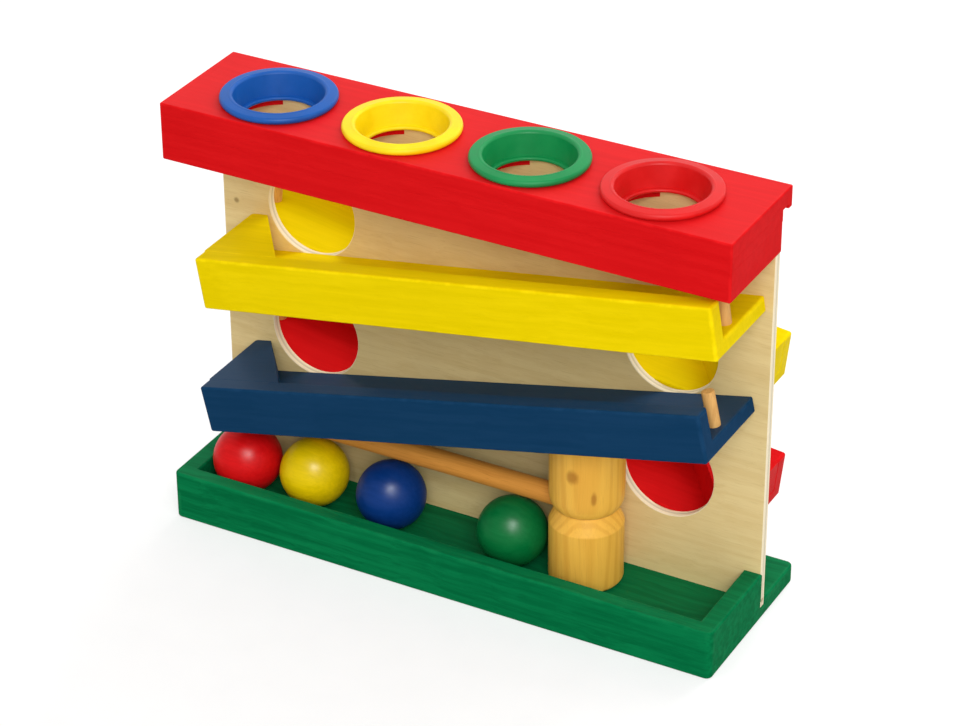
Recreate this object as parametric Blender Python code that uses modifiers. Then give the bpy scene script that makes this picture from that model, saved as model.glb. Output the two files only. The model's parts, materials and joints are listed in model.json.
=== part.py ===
"""Wooden ball pounding toy: a tray, a panel, four sloping tracks, a top with rings, balls and a mallet.

Lengths below are millimetres. +X runs along the toy, +Y from its front to its back and +Z up.
The origin is the middle of the base board's underside.
"""

import math

import bmesh
import bpy
from mathutils import Matrix

MM = 0.001
TOY = "ball_pounding_toy"
CUTTERS = "cutters"

# Fits
GAP = 0.3
HOLE_CLEARANCE = 0.2

# Balls
BALL_RADIUS = 22.5

# Base and tray
LENGTH = 380.0
BASE_THICKNESS = 13.0
BASE_BEHIND_PANEL = 43.5
RAIL_HEIGHT = 20.5
FRONT_RAIL_THICKNESS = 11.0
SIDE_RAIL_THICKNESS = 12.0
BOARD_ROUNDING = 1.6

# Panel that stands in the base and carries the tracks
PANEL_THICKNESS = 6.0
PANEL_END_INSET = 0.5
PANEL_ROUNDING = 0.6
BASE_GROOVE_DEPTH = 5.5
PANEL_HOLE_ROOM = 8.5
HOLE_MARGIN = 4.5
SILL_DROP = 1.5

# Tracks
TRACK_FLOOR = 10.0
TRACK_WALL = 12.0
TRACK_ROOM = 10.5
TRACK_SETBACK = 5.0
TRACK_LOW_INSET = 27.0
REAR_TAIL = 5.0
TRACK_ROUNDING = 1.4
DEFLECTOR_ROUNDING = 0.5
DEFLECTOR_NARROW = 11.5
DEFLECTOR_WIDE = 53.0
YELLOW_WALL_HEIGHT = 34.4
WALL_HEIGHT = 31.6
YELLOW_SLOPE = math.radians(9.5)
BLUE_SLOPE = math.radians(12.8)
REAR_SLOPE = math.radians(6.4)
STEP_YELLOW = 1.5
STEP_BLUE = 1.0
STEP_RED = 1.5
PEG_RADIUS = 4.0
PEG_FROM_END = 8.0
PEG_FROM_PANEL = 37.5
PEG_FOOT = 1.0
PEG_SHOW = 1.0

# Top box with the holes for the rings
TOP_THICKNESS = 18.0
TOP_SETBACK = 8.5
TOP_OVERHANG = 13.0
TOP_GROOVE_DEPTH = 6.0
TOP_RAIL_HEIGHT = 20.0
TOP_RAIL_THICKNESS = 12.0
TOP_LIP_HEIGHT = 13.6
TOP_LIP_WIDTH = 5.2
TOP_LIP_DROP = 2.9
TOP_ROOM = 3.7

# Rings
RING_FROM_END = 61.45
RING_FLANGE_WIDTH = 7.0
RING_FLANGE_EDGE = 2.4
RING_CROWN_TURN = 60.0
RING_RISE = 5.2
RING_GRIP = 0.15
RING_LIP_DEPTH = 2.65
RING_LIP_HEIGHT = 2.4
RING_THROAT_WALL = 4.2
RING_MOUTH_WALL = 1.5

# Mallet
MALLET_HEAD_RADIUS = 23.5
MALLET_GROOVE_WIDTH = 22.0
MALLET_GROOVE_DEPTH = 4.0
MALLET_EDGE = 2.5
MALLET_HEAD_ROOM = 1.0
HANDLE_RADIUS = 7.0
HANDLE_REACH = 172.0
HANDLE_BITE = 34.0
HANDLE_END_EDGE = 2.5
HANDLE_OVER_BALLS = 0.5

# Dowels and screws
DOWEL_RADIUS = 2.5
DOWEL_IN_PANEL = 4.0
DOWEL_IN_FLOOR = 14.0
DOWEL_PAST_HOLE = 10.0
TOP_DOWEL_RADIUS = 3.0
TOP_DOWEL_HALF = 9.0
SCREW_RADIUS = 1.8
SCREW_HEAD_RADIUS = 3.5
SCREW_HEAD_HEIGHT = 2.4
SCREW_RECESS = 0.6
SCREW_BITE = 13.0
SCREW_FROM_END = 50.0

# Facets of round pieces
SMALL_SIDES = 16
HOLE_SIDES = 40
RING_STEPS = 32
TURNED_STEPS = 36
BALL_SEGMENTS = 24
BALL_RINGS = 12
ROUNDING_STEPS = 2
ARC_STEPS = 3
CUT_MARGIN = 2.0

# Places along and across the toy
HALF_LENGTH = LENGTH / 2
TRACK_DEPTH = TRACK_WALL + 2 * BALL_RADIUS + TRACK_ROOM
TRACK_LENGTH = LENGTH - TRACK_LOW_INSET
LOW_END = HALF_LENGTH - TRACK_LOW_INSET
PANEL_SETBACK = TRACK_SETBACK + TRACK_DEPTH
BASE_DEPTH = PANEL_SETBACK + PANEL_THICKNESS + BASE_BEHIND_PANEL
FRONT = -BASE_DEPTH / 2
PANEL_FRONT = FRONT + PANEL_SETBACK
PANEL_BACK = PANEL_FRONT + PANEL_THICKNESS
PANEL_HOLE_RADIUS = BALL_RADIUS + PANEL_HOLE_ROOM
HOLE_FROM_LOW = DEFLECTOR_NARROW + BALL_RADIUS + HOLE_MARGIN
HOLE_X = LOW_END - HOLE_FROM_LOW
RAIL_TOP = BASE_THICKNESS + RAIL_HEIGHT
RAIL_BACK = FRONT + FRONT_RAIL_THICKNESS

# Balls stand in a row from the left rail: name, space to what is on its left, distance from the front rail
BALL_ROW = (
    ("ball_red", 0.5, 0.5),
    ("ball_yellow", 1.5, 6.5),
    ("ball_blue", 11.5, 6.5),
    ("ball_green", 42.0, 6.5),
)
BALL_LIFT = BASE_THICKNESS + GAP + BALL_RADIUS
BALL_SPACES = sum(space for _, space, _ in BALL_ROW)
ROW_END = -HALF_LENGTH + SIDE_RAIL_THICKNESS + BALL_SPACES + 2 * BALL_RADIUS * len(BALL_ROW)

# The mallet stands beside the last ball, with its handle just over the row
MALLET_SPACE = 1.0
MALLET_X = ROW_END + MALLET_SPACE + MALLET_HEAD_RADIUS
MALLET_Y = PANEL_FRONT - MALLET_HEAD_RADIUS - 2 * GAP
MALLET_HALF = 2 * BALL_RADIUS + HANDLE_OVER_BALLS + HANDLE_RADIUS
MALLET_Z = BASE_THICKNESS + GAP + MALLET_HALF
MALLET_TOP = MALLET_Z + MALLET_HALF


def floor_rise(slope, along):
    """Height of a track's floor over its low corner, at a distance along X."""
    return along * math.tan(slope) + TRACK_FLOOR / math.cos(slope)


# Each track's low corner takes its height from the track that it feeds or that feeds it
FAR_HOLE = LOW_END + HOLE_X
REAR_FAR_HOLE = FAR_HOLE + REAR_TAIL
REAR_HOLE_FROM_LOW = HOLE_FROM_LOW + REAR_TAIL
MALLET_CLEAR = MALLET_X - MALLET_HEAD_RADIUS + LOW_END
BLUE_LOW = MALLET_TOP + MALLET_HEAD_ROOM - MALLET_CLEAR * math.tan(BLUE_SLOPE)
RED_SILL = BLUE_LOW + floor_rise(BLUE_SLOPE, HOLE_FROM_LOW) - STEP_RED
RED_LOW = RED_SILL - floor_rise(REAR_SLOPE, REAR_FAR_HOLE)
BLUE_SILL = BLUE_LOW + floor_rise(BLUE_SLOPE, FAR_HOLE) + STEP_BLUE
REAR_YELLOW_LOW = BLUE_SILL - floor_rise(REAR_SLOPE, REAR_HOLE_FROM_LOW)
YELLOW_SILL = REAR_YELLOW_LOW + floor_rise(REAR_SLOPE, REAR_FAR_HOLE) + STEP_YELLOW
YELLOW_LOW = YELLOW_SILL - floor_rise(YELLOW_SLOPE, HOLE_FROM_LOW)

# Tracks: name, tail of those at the back, slope, height of the outer wall, height of the low corner, finish
TRACKS = (
    ("front_yellow", 0.0, YELLOW_SLOPE, YELLOW_WALL_HEIGHT, YELLOW_LOW, "yellow_paint"),
    ("front_blue", 0.0, BLUE_SLOPE, WALL_HEIGHT, BLUE_LOW, "navy_paint"),
    ("rear_yellow", REAR_TAIL, REAR_SLOPE, WALL_HEIGHT, REAR_YELLOW_LOW, "yellow_paint"),
    ("rear_red", REAR_TAIL, REAR_SLOPE, WALL_HEIGHT, RED_LOW, "red_paint"),
)

# Heights of the top, which clears the high end of the upper track
YELLOW_HIGH = YELLOW_LOW + TRACK_LENGTH * math.sin(YELLOW_SLOPE) + YELLOW_WALL_HEIGHT * math.cos(YELLOW_SLOPE)
TOP_RAIL_FOOT = YELLOW_HIGH + TOP_ROOM
TOP_UNDERSIDE = TOP_RAIL_FOOT + TOP_RAIL_HEIGHT
TOP_FACE = TOP_UNDERSIDE + TOP_THICKNESS
TOP_FRONT = FRONT + TOP_SETBACK
TOP_BACK = PANEL_BACK + TOP_OVERHANG
TOP_RAIL_BACK = TOP_FRONT + TOP_RAIL_THICKNESS
TOP_END_INSIDE = HALF_LENGTH - TOP_RAIL_THICKNESS

# Rings
RING_LIP_RADIUS = BALL_RADIUS - RING_GRIP
RING_THROAT_RADIUS = RING_LIP_RADIUS + RING_LIP_DEPTH
RING_COLLAR_RADIUS = RING_THROAT_RADIUS + RING_THROAT_WALL
RING_HOLE_RADIUS = RING_COLLAR_RADIUS + GAP
RING_FLANGE_RADIUS = RING_COLLAR_RADIUS + RING_FLANGE_WIDTH
RINGS = (("ring_blue", -1.5), ("ring_yellow", -0.5), ("ring_green", 0.5), ("ring_red", 1.5))
RING_PITCH = (LENGTH - 2 * RING_FROM_END) / (len(RINGS) - 1)
RING_Y = (TOP_RAIL_BACK + PANEL_FRONT) / 2
RING_COLLAR_DEPTH = TOP_THICKNESS - TOP_GROOVE_DEPTH

# Edges of a board's foot, head, front and back, each named by the two faces that meet there
FOOT_EDGES = ("-X-Z", "+X-Z", "-Y-Z", "+Y-Z")
HEAD_EDGES = ("-X+Z", "+X+Z", "-Y+Z", "+Y+Z")
FRONT_EDGES = ("-X-Y", "+X-Y", "-Y-Z", "-Y+Z")
BACK_EDGES = ("-X+Y", "+X+Y", "+Y-Z", "+Y+Z")

# Finishes: base colour, roughness, metallic
FINISHES = {
    "green_paint": ((0.006, 0.155, 0.055), 0.45, 0.0),
    "red_paint": ((0.72, 0.012, 0.014), 0.42, 0.0),
    "yellow_paint": ((0.82, 0.62, 0.004), 0.42, 0.0),
    "navy_paint": ((0.012, 0.048, 0.13), 0.45, 0.0),
    "birch_ply": ((0.70, 0.55, 0.28), 0.6, 0.0),
    "pale_dowel": ((0.68, 0.42, 0.17), 0.6, 0.0),
    "amber_wood": ((0.70, 0.42, 0.12), 0.5, 0.0),
    "zinc_steel": ((0.62, 0.62, 0.60), 0.35, 1.0),
    "ring_blue": ((0.03, 0.22, 0.60), 0.35, 0.0),
    "ring_yellow": ((0.95, 0.72, 0.01), 0.35, 0.0),
    "ring_green": ((0.03, 0.38, 0.13), 0.35, 0.0),
    "ring_red": ((0.74, 0.03, 0.025), 0.35, 0.0),
    "ball_red": ((0.72, 0.01, 0.012), 0.2, 0.0),
    "ball_yellow": ((0.86, 0.62, 0.005), 0.2, 0.0),
    "ball_blue": ((0.012, 0.04, 0.26), 0.2, 0.0),
    "ball_green": ((0.004, 0.18, 0.05), 0.2, 0.0),
}


def new_collection(name):
    """Add a collection to the scene."""
    collection = bpy.data.collections.new(name)
    bpy.context.scene.collection.children.link(collection)
    return collection


def finish(name):
    """Return the named finish, made on first use."""
    found = bpy.data.materials.get(name)
    if found:
        return found
    colour, roughness, metallic = FINISHES[name]
    material = bpy.data.materials.new(name)
    material.use_nodes = True
    shader = material.node_tree.nodes["Principled BSDF"]
    shader.inputs["Base Color"].default_value = (*colour, 1.0)
    shader.inputs["Roughness"].default_value = roughness
    shader.inputs["Metallic"].default_value = metallic
    return material


def mesh_from(bm, name):
    """Turn a bmesh into a mesh and free it."""
    mesh = bpy.data.meshes.new(name)
    bm.to_mesh(mesh)
    bm.free()
    return mesh


def place(name, mesh, at, finish_name, parent=None):
    """Add a piece of the toy, with its origin at a point given in millimetres."""
    piece = bpy.data.objects.new(name, mesh)
    piece.location = [v * MM for v in at]
    piece.parent = parent
    mesh.materials.append(finish(finish_name))
    bpy.data.collections[TOY].objects.link(piece)
    return piece


def place_cutter(mesh, at, parent=None):
    """Add a shape that only cuts, with its origin at a point given in millimetres."""
    cutter = bpy.data.objects.new("cutter", mesh)
    cutter.location = [v * MM for v in at]
    cutter.parent = parent
    cutter.hide_render = True
    cutter.display_type = "WIRE"
    bpy.data.collections[CUTTERS].objects.link(cutter)
    return cutter


def cut(piece, cutter):
    """Take a cutter's shape out of a piece."""
    modifier = piece.modifiers.new("cut", "BOOLEAN")
    modifier.operation = "DIFFERENCE"
    modifier.object = cutter


def round_edges(piece, width, limit="WEIGHT"):
    """Round the edges of a piece that are marked for it, or with limit ANGLE all its sharp ones."""
    modifier = piece.modifiers.new("edges", "BEVEL")
    modifier.width = width * MM
    modifier.segments = ROUNDING_STEPS
    modifier.limit_method = limit


def middle_of(low, high):
    """Middle of a box given by its corners."""
    return [(a + b) / 2 for a, b in zip(low, high)]


def edge_name(edge):
    """Name an edge of a unit cube by the two faces that meet there, such as -Y+Z."""
    middle = (edge.verts[0].co + edge.verts[1].co) / 2
    signs = ["-" if v < 0 else "+" for v in middle]
    return "".join(sign + axis for sign, axis, v in zip(signs, "XYZ", middle) if v)


def box_mesh(low, high, square=()):
    """Mesh of a box about its own middle, with all edges but the named square ones marked for rounding."""
    bm = bmesh.new()
    bmesh.ops.create_cube(bm, size=1.0)
    weight = bm.edges.layers.float.new("bevel_weight_edge")
    for edge in bm.edges:
        edge[weight] = 0.0 if edge_name(edge) in square else 1.0
    bmesh.ops.scale(bm, verts=bm.verts, vec=[(b - a) * MM for a, b in zip(low, high)])
    return mesh_from(bm, "box")


def rod_mesh(radius, low, high, axis="Z", sides=SMALL_SIDES):
    """Mesh of a round rod along an axis, from low to high on it."""
    bm = bmesh.new()
    bmesh.ops.create_cone(
        bm, cap_ends=True, segments=sides, radius1=radius * MM, radius2=radius * MM, depth=(high - low) * MM
    )
    bmesh.ops.translate(bm, verts=bm.verts, vec=(0, 0, (low + high) / 2 * MM))
    if axis == "Y":
        bmesh.ops.rotate(bm, verts=bm.verts, matrix=Matrix.Rotation(-math.pi / 2, 3, "X"))
    mesh = mesh_from(bm, "rod")
    mesh.shade_smooth()
    mesh.set_sharp_from_angle(angle=math.radians(40))
    return mesh


def outline_mesh(points, thickness):
    """Mesh of a flat outline, extruded equally to both sides."""
    curve = bpy.data.curves.new("outline", "CURVE")
    curve.dimensions = "2D"
    curve.fill_mode = "BOTH"
    curve.extrude = thickness / 2 * MM
    spline = curve.splines.new("POLY")
    spline.points.add(len(points) - 1)
    for point, (x, y) in zip(spline.points, points):
        point.co = (x * MM, y * MM, 0.0, 1.0)
    spline.use_cyclic_u = True
    drawn = bpy.data.objects.new("outline", curve)
    bpy.context.scene.collection.objects.link(drawn)
    graph = bpy.context.evaluated_depsgraph_get()
    mesh = bpy.data.meshes.new_from_object(drawn.evaluated_get(graph))
    bpy.data.objects.remove(drawn)
    mesh.materials.clear()
    bm = bmesh.new()
    bm.from_mesh(mesh)
    bmesh.ops.remove_doubles(bm, verts=bm.verts, dist=1e-6)
    bm.to_mesh(mesh)
    bm.free()
    return mesh


def turned(name, profile, at, finish_name, closed=False, steps=TURNED_STEPS, parent=None):
    """Add a piece turned about its own Z axis from a profile of radius and height, outer side first."""
    bm = bmesh.new()
    points = [bm.verts.new((r * MM, 0.0, z * MM)) for r, z in profile]
    for a, b in zip(points, points[1:]):
        bm.edges.new((a, b))
    if closed:
        bm.edges.new((points[-1], points[0]))
    piece = place(name, mesh_from(bm, name), at, finish_name, parent)
    screw = piece.modifiers.new("turn", "SCREW")
    screw.steps = steps
    screw.render_steps = steps
    screw.use_merge_vertices = True
    screw.merge_threshold = 1e-6
    screw.use_smooth_shade = True
    return piece


def arc(centre, radius, start, end):
    """Points of an arc in a profile, angles in degrees from the outward direction."""
    steps = [math.radians(start + (end - start) * i / ARC_STEPS) for i in range(ARC_STEPS + 1)]
    return [(centre[0] + radius * math.cos(a), centre[1] + radius * math.sin(a)) for a in steps]


def board(name, low, high, finish_name, rounding=BOARD_ROUNDING, square=()):
    """Add a board between two corners, rounded but for the edges that meet another board flush."""
    piece = place(name, box_mesh(low, high, square), middle_of(low, high), finish_name)
    round_edges(piece, rounding)
    return piece


def cut_box(piece, low, high):
    """Cut a box between two corners out of a piece."""
    cut(piece, place_cutter(box_mesh(low, high), middle_of(low, high)))


def cut_rod(piece, radius, at, low, high, axis="Z", sides=SMALL_SIDES, parent=None):
    """Cut a round hole out of a piece."""
    cut(piece, place_cutter(rod_mesh(radius, low, high, axis, sides), at, parent))


def make_screw(name, x, y):
    """Add a countersunk wood screw that stands in the base board from below."""
    foot = SCREW_RECESS
    neck = foot + SCREW_HEAD_HEIGHT
    tip = BASE_THICKNESS + SCREW_BITE
    profile = [
        (0.0, tip),
        (SCREW_RADIUS, tip - 2 * SCREW_RADIUS),
        (SCREW_RADIUS, neck),
        (SCREW_HEAD_RADIUS, foot),
        (0.0, foot),
    ]
    turned(name, profile, (x, y, 0.0), "zinc_steel", steps=SMALL_SIDES)


def screw_hole(base, rail, x, y):
    """Cut a screw's countersunk way through the base board and its pilot hole in a rail."""
    neck = SCREW_RECESS + SCREW_HEAD_HEIGHT
    wide = SCREW_HEAD_RADIUS + HOLE_CLEARANCE
    slim = SCREW_RADIUS + HOLE_CLEARANCE
    cut_rod(base, slim, (x, y, 0.0), -CUT_MARGIN, BASE_THICKNESS + CUT_MARGIN)
    cut_rod(base, wide, (x, y, 0.0), -CUT_MARGIN, neck + HOLE_CLEARANCE)
    pilot = BASE_THICKNESS + SCREW_BITE + HOLE_CLEARANCE
    cut_rod(rail, slim, (x, y, 0.0), BASE_THICKNESS - CUT_MARGIN, pilot)


def make_base():
    """Add the base board with its groove, the three tray rails and the screws that hold them."""
    back_corner = (HALF_LENGTH, FRONT + BASE_DEPTH, BASE_THICKNESS)
    base_square = ("-Y+Z", "-X+Z", "+X+Z")
    base = board("base_board", (-HALF_LENGTH, FRONT, 0.0), back_corner, "green_paint", square=base_square)
    foot = BASE_THICKNESS + GAP
    rail_corner = (HALF_LENGTH, RAIL_BACK, RAIL_TOP)
    rail_square = (*FOOT_EDGES, "-X+Y", "+X+Y")
    foot_corner = (-HALF_LENGTH, FRONT, foot)
    front = board("tray_front_rail", foot_corner, rail_corner, "green_paint", square=rail_square)
    cut_box(
        base,
        (-HALF_LENGTH - CUT_MARGIN, PANEL_FRONT - GAP, BASE_THICKNESS - BASE_GROOVE_DEPTH),
        (HALF_LENGTH + CUT_MARGIN, PANEL_BACK + GAP, BASE_THICKNESS + CUT_MARGIN),
    )
    rail_y = FRONT + FRONT_RAIL_THICKNESS / 2
    spread = HALF_LENGTH - SCREW_FROM_END
    for number, x in enumerate((-spread, 0.0, spread), 1):
        screw_hole(base, front, x, rail_y)
        make_screw(f"front_rail_screw_{number}", x, rail_y)
    for side, sign in (("left", -1), ("right", 1)):
        outer = sign * HALF_LENGTH
        inner = sign * (HALF_LENGTH - SIDE_RAIL_THICKNESS)
        rail = board(
            f"tray_{side}_rail",
            (min(outer, inner), RAIL_BACK + GAP, foot),
            (max(outer, inner), PANEL_FRONT - GAP, RAIL_TOP),
            "green_paint",
            square=(*FOOT_EDGES, *FRONT_EDGES, *BACK_EDGES),
        )
        x = (outer + inner) / 2
        y = (RAIL_BACK + PANEL_FRONT) / 2
        screw_hole(base, rail, x, y)
        make_screw(f"{side}_rail_screw", x, y)


def make_panel():
    """Add the panel, with shoulders for the top's end blocks and a hole at each track's low end."""
    half = HALF_LENGTH - PANEL_END_INSET
    panel = board(
        "panel",
        (-half, PANEL_FRONT, BASE_THICKNESS - BASE_GROOVE_DEPTH + GAP),
        (half, PANEL_BACK, TOP_UNDERSIDE + TOP_GROOVE_DEPTH - GAP),
        "birch_ply",
        PANEL_ROUNDING,
    )
    for sign in (-1, 1):
        ends = (sign * (TOP_END_INSIDE - GAP), sign * (HALF_LENGTH + CUT_MARGIN))
        cut_box(
            panel,
            (min(ends), PANEL_FRONT - CUT_MARGIN, TOP_RAIL_FOOT - GAP),
            (max(ends), PANEL_BACK + CUT_MARGIN, TOP_FACE),
        )
    for _, tail, slope, _, low, _ in TRACKS:
        x = HOLE_X if tail else -HOLE_X
        z = low + floor_rise(slope, HOLE_FROM_LOW + tail) - SILL_DROP + PANEL_HOLE_RADIUS
        through = PANEL_THICKNESS + CUT_MARGIN
        cut_rod(panel, PANEL_HOLE_RADIUS, (x, PANEL_FRONT, z), -CUT_MARGIN, through, "Y", HOLE_SIDES)
    return panel


def make_track(panel, name, tail, slope, wall_height, low, finish_name):
    """Add one track: floor, outer wall, deflector at the low end, stop peg at the high end and two dowels.

    The track's own frame has its origin at the low corner on the panel, x up the slope and y into the panel.
    """
    frame = bpy.data.objects.new(f"{name}_frame", None)
    corner = (LOW_END + tail, PANEL_BACK, low) if tail else (-LOW_END, PANEL_FRONT, low)
    frame.location = [v * MM for v in corner]
    frame.rotation_euler = (0.0, -slope, math.pi if tail else 0.0)
    bpy.data.collections[TOY].objects.link(frame)

    length = TRACK_LENGTH + tail
    inside = -TRACK_DEPTH + TRACK_WALL
    boards = (
        ("floor", (0.0, inside + GAP, 0.0), (length, -GAP, TRACK_FLOOR), (*FRONT_EDGES, *BACK_EDGES)),
        ("wall", (0.0, -TRACK_DEPTH, 0.0), (length, inside, wall_height), ("+Y-Z", "-X+Y", "+X+Y")),
    )
    made = {}
    for part, low_corner, high_corner, square in boards:
        made[part] = board(f"{name}_{part}", low_corner, high_corner, finish_name, TRACK_ROUNDING, square)
        made[part].parent = frame

    narrow = DEFLECTOR_NARROW + tail
    wide = DEFLECTOR_WIDE + tail
    outline = ((0.0, -GAP), (0.0, inside + GAP), (wide, inside + GAP), (narrow, -GAP))
    foot = TRACK_FLOOR + GAP
    block = place(
        f"{name}_deflector",
        outline_mesh(outline, wall_height - foot),
        (0.0, 0.0, (foot + wall_height) / 2),
        finish_name,
        frame,
    )
    round_edges(block, DEFLECTOR_ROUNDING, "ANGLE")

    peg_at = (length - PEG_FROM_END, -PEG_FROM_PANEL, 0.0)
    peg_room = PEG_RADIUS + HOLE_CLEARANCE
    cut_rod(made["floor"], peg_room, peg_at, -CUT_MARGIN, TRACK_FLOOR + CUT_MARGIN, parent=frame)
    peg = rod_mesh(PEG_RADIUS, PEG_FOOT, wall_height + PEG_SHOW)
    place(f"{name}_stop_peg", peg, peg_at, "pale_dowel", frame)

    past_hole = HOLE_FROM_LOW + PANEL_HOLE_RADIUS + DOWEL_PAST_HOLE
    for end, x in (("low", past_hole + tail), ("high", length - past_hole)):
        at = (x, 0.0, TRACK_FLOOR / 2)
        bore = DOWEL_RADIUS + HOLE_CLEARANCE
        deep = DOWEL_IN_FLOOR + HOLE_CLEARANCE
        cut_rod(made["floor"], bore, at, -deep, CUT_MARGIN, "Y", parent=frame)
        cut_rod(panel, bore, at, -CUT_MARGIN, DOWEL_IN_PANEL + HOLE_CLEARANCE, "Y", parent=frame)
        dowel = rod_mesh(DOWEL_RADIUS, -DOWEL_IN_FLOOR, DOWEL_IN_PANEL, "Y")
        place(f"{name}_{end}_dowel", dowel, at, "pale_dowel", frame)


def make_top():
    """Add the top board with its holes, the strip and lip at its back, the front rail, end blocks and dowels."""
    top_square = ("-Y-Z", "-X-Z", "+X-Z", *BACK_EDGES)
    back_corner = (HALF_LENGTH, PANEL_BACK, TOP_FACE)
    front_corner = (-HALF_LENGTH, TOP_FRONT, TOP_UNDERSIDE)
    top = board("top_board", front_corner, back_corner, "red_paint", square=top_square)
    cut_box(
        top,
        (-TOP_END_INSIDE, PANEL_FRONT - GAP, TOP_UNDERSIDE - CUT_MARGIN),
        (TOP_END_INSIDE, PANEL_BACK + GAP, TOP_UNDERSIDE + TOP_GROOVE_DEPTH),
    )
    for _, place_in_row in RINGS:
        cut_rod(
            top,
            RING_HOLE_RADIUS,
            (place_in_row * RING_PITCH, RING_Y, TOP_UNDERSIDE),
            -CUT_MARGIN,
            TOP_THICKNESS + CUT_MARGIN,
            sides=HOLE_SIDES,
        )
    lip_foot = TOP_FACE - TOP_LIP_HEIGHT
    lip_head = lip_foot + TOP_LIP_DROP
    strip_front_corner = (-HALF_LENGTH, PANEL_BACK + GAP, lip_head)
    strip_back_corner = (HALF_LENGTH, TOP_BACK, TOP_FACE)
    strip_square = (*FRONT_EDGES, *FOOT_EDGES)
    board("top_back_strip", strip_front_corner, strip_back_corner, "red_paint", square=strip_square)
    lip_front_corner = (-HALF_LENGTH, TOP_BACK - TOP_LIP_WIDTH, lip_foot)
    lip_back_corner = (HALF_LENGTH, TOP_BACK, lip_head - GAP)
    lip_square = (*HEAD_EDGES, *FRONT_EDGES)
    board("top_back_lip", lip_front_corner, lip_back_corner, "red_paint", square=lip_square)

    head = TOP_UNDERSIDE - GAP
    rail_corner = (HALF_LENGTH, TOP_RAIL_BACK, head)
    rail_square = (*HEAD_EDGES, "-X+Y", "+X+Y")
    foot_corner = (-HALF_LENGTH, TOP_FRONT, TOP_RAIL_FOOT)
    front = board("top_front_rail", foot_corner, rail_corner, "red_paint", square=rail_square)
    rail_y = (TOP_FRONT + TOP_RAIL_BACK) / 2
    end_y = (TOP_RAIL_BACK + PANEL_FRONT) / 2
    for side, sign in (("left", -1), ("right", 1)):
        ends = (sign * TOP_END_INSIDE, sign * HALF_LENGTH)
        block = board(
            f"top_{side}_end",
            (min(ends), TOP_RAIL_BACK + GAP, TOP_RAIL_FOOT),
            (max(ends), PANEL_BACK, head),
            "red_paint",
            square=(*HEAD_EDGES, *FRONT_EDGES),
        )
        make_top_dowel(f"top_{side}_front_dowel", top, front, sign * RING_PITCH, rail_y)
        make_top_dowel(f"top_{side}_end_dowel", top, block, sum(ends) / 2, end_y)


def make_top_dowel(name, top, below, x, y):
    """Add an upright dowel that joins the top board to the piece below it."""
    at = (x, y, TOP_UNDERSIDE)
    wide = TOP_DOWEL_RADIUS + HOLE_CLEARANCE
    deep = TOP_DOWEL_HALF + HOLE_CLEARANCE
    cut_rod(top, wide, at, -CUT_MARGIN, deep)
    cut_rod(below, wide, at, -deep, CUT_MARGIN)
    place(name, rod_mesh(TOP_DOWEL_RADIUS, -TOP_DOWEL_HALF, TOP_DOWEL_HALF), at, "pale_dowel")


def make_rings():
    """Add the four rings: a rounded flange on the top board and a collar that narrows to a lip."""
    mouth = RING_COLLAR_RADIUS - RING_MOUTH_WALL
    crown = (RING_FLANGE_RADIUS + mouth) / 2
    bead = (crown - mouth) / 2
    foot = -RING_COLLAR_DEPTH
    lip = RING_LIP_HEIGHT / 2
    edge = RING_FLANGE_EDGE
    profile = arc((mouth + bead, RING_RISE - bead), bead, 180, RING_CROWN_TURN)
    profile += arc((RING_FLANGE_RADIUS - edge, edge + GAP), edge, RING_CROWN_TURN, -90)
    profile += [(RING_COLLAR_RADIUS, GAP), (RING_COLLAR_RADIUS, foot)]
    profile += arc((RING_LIP_RADIUS + lip, foot + lip), lip, 270, 90)
    profile += [(RING_THROAT_RADIUS, foot + RING_LIP_HEIGHT)]
    for name, place_in_row in RINGS:
        at = (place_in_row * RING_PITCH, RING_Y, TOP_FACE)
        turned(name, profile, at, name, closed=True, steps=RING_STEPS)


def make_balls():
    """Add the balls in a row along the tray."""
    x = -HALF_LENGTH + SIDE_RAIL_THICKNESS - BALL_RADIUS
    for name, space, from_rail in BALL_ROW:
        x += space + 2 * BALL_RADIUS
        bm = bmesh.new()
        radius = BALL_RADIUS * MM
        bmesh.ops.create_uvsphere(bm, u_segments=BALL_SEGMENTS, v_segments=BALL_RINGS, radius=radius)
        mesh = mesh_from(bm, name)
        mesh.shade_smooth()
        place(name, mesh, (x, RAIL_BACK + from_rail + BALL_RADIUS, BALL_LIFT), name)


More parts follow.
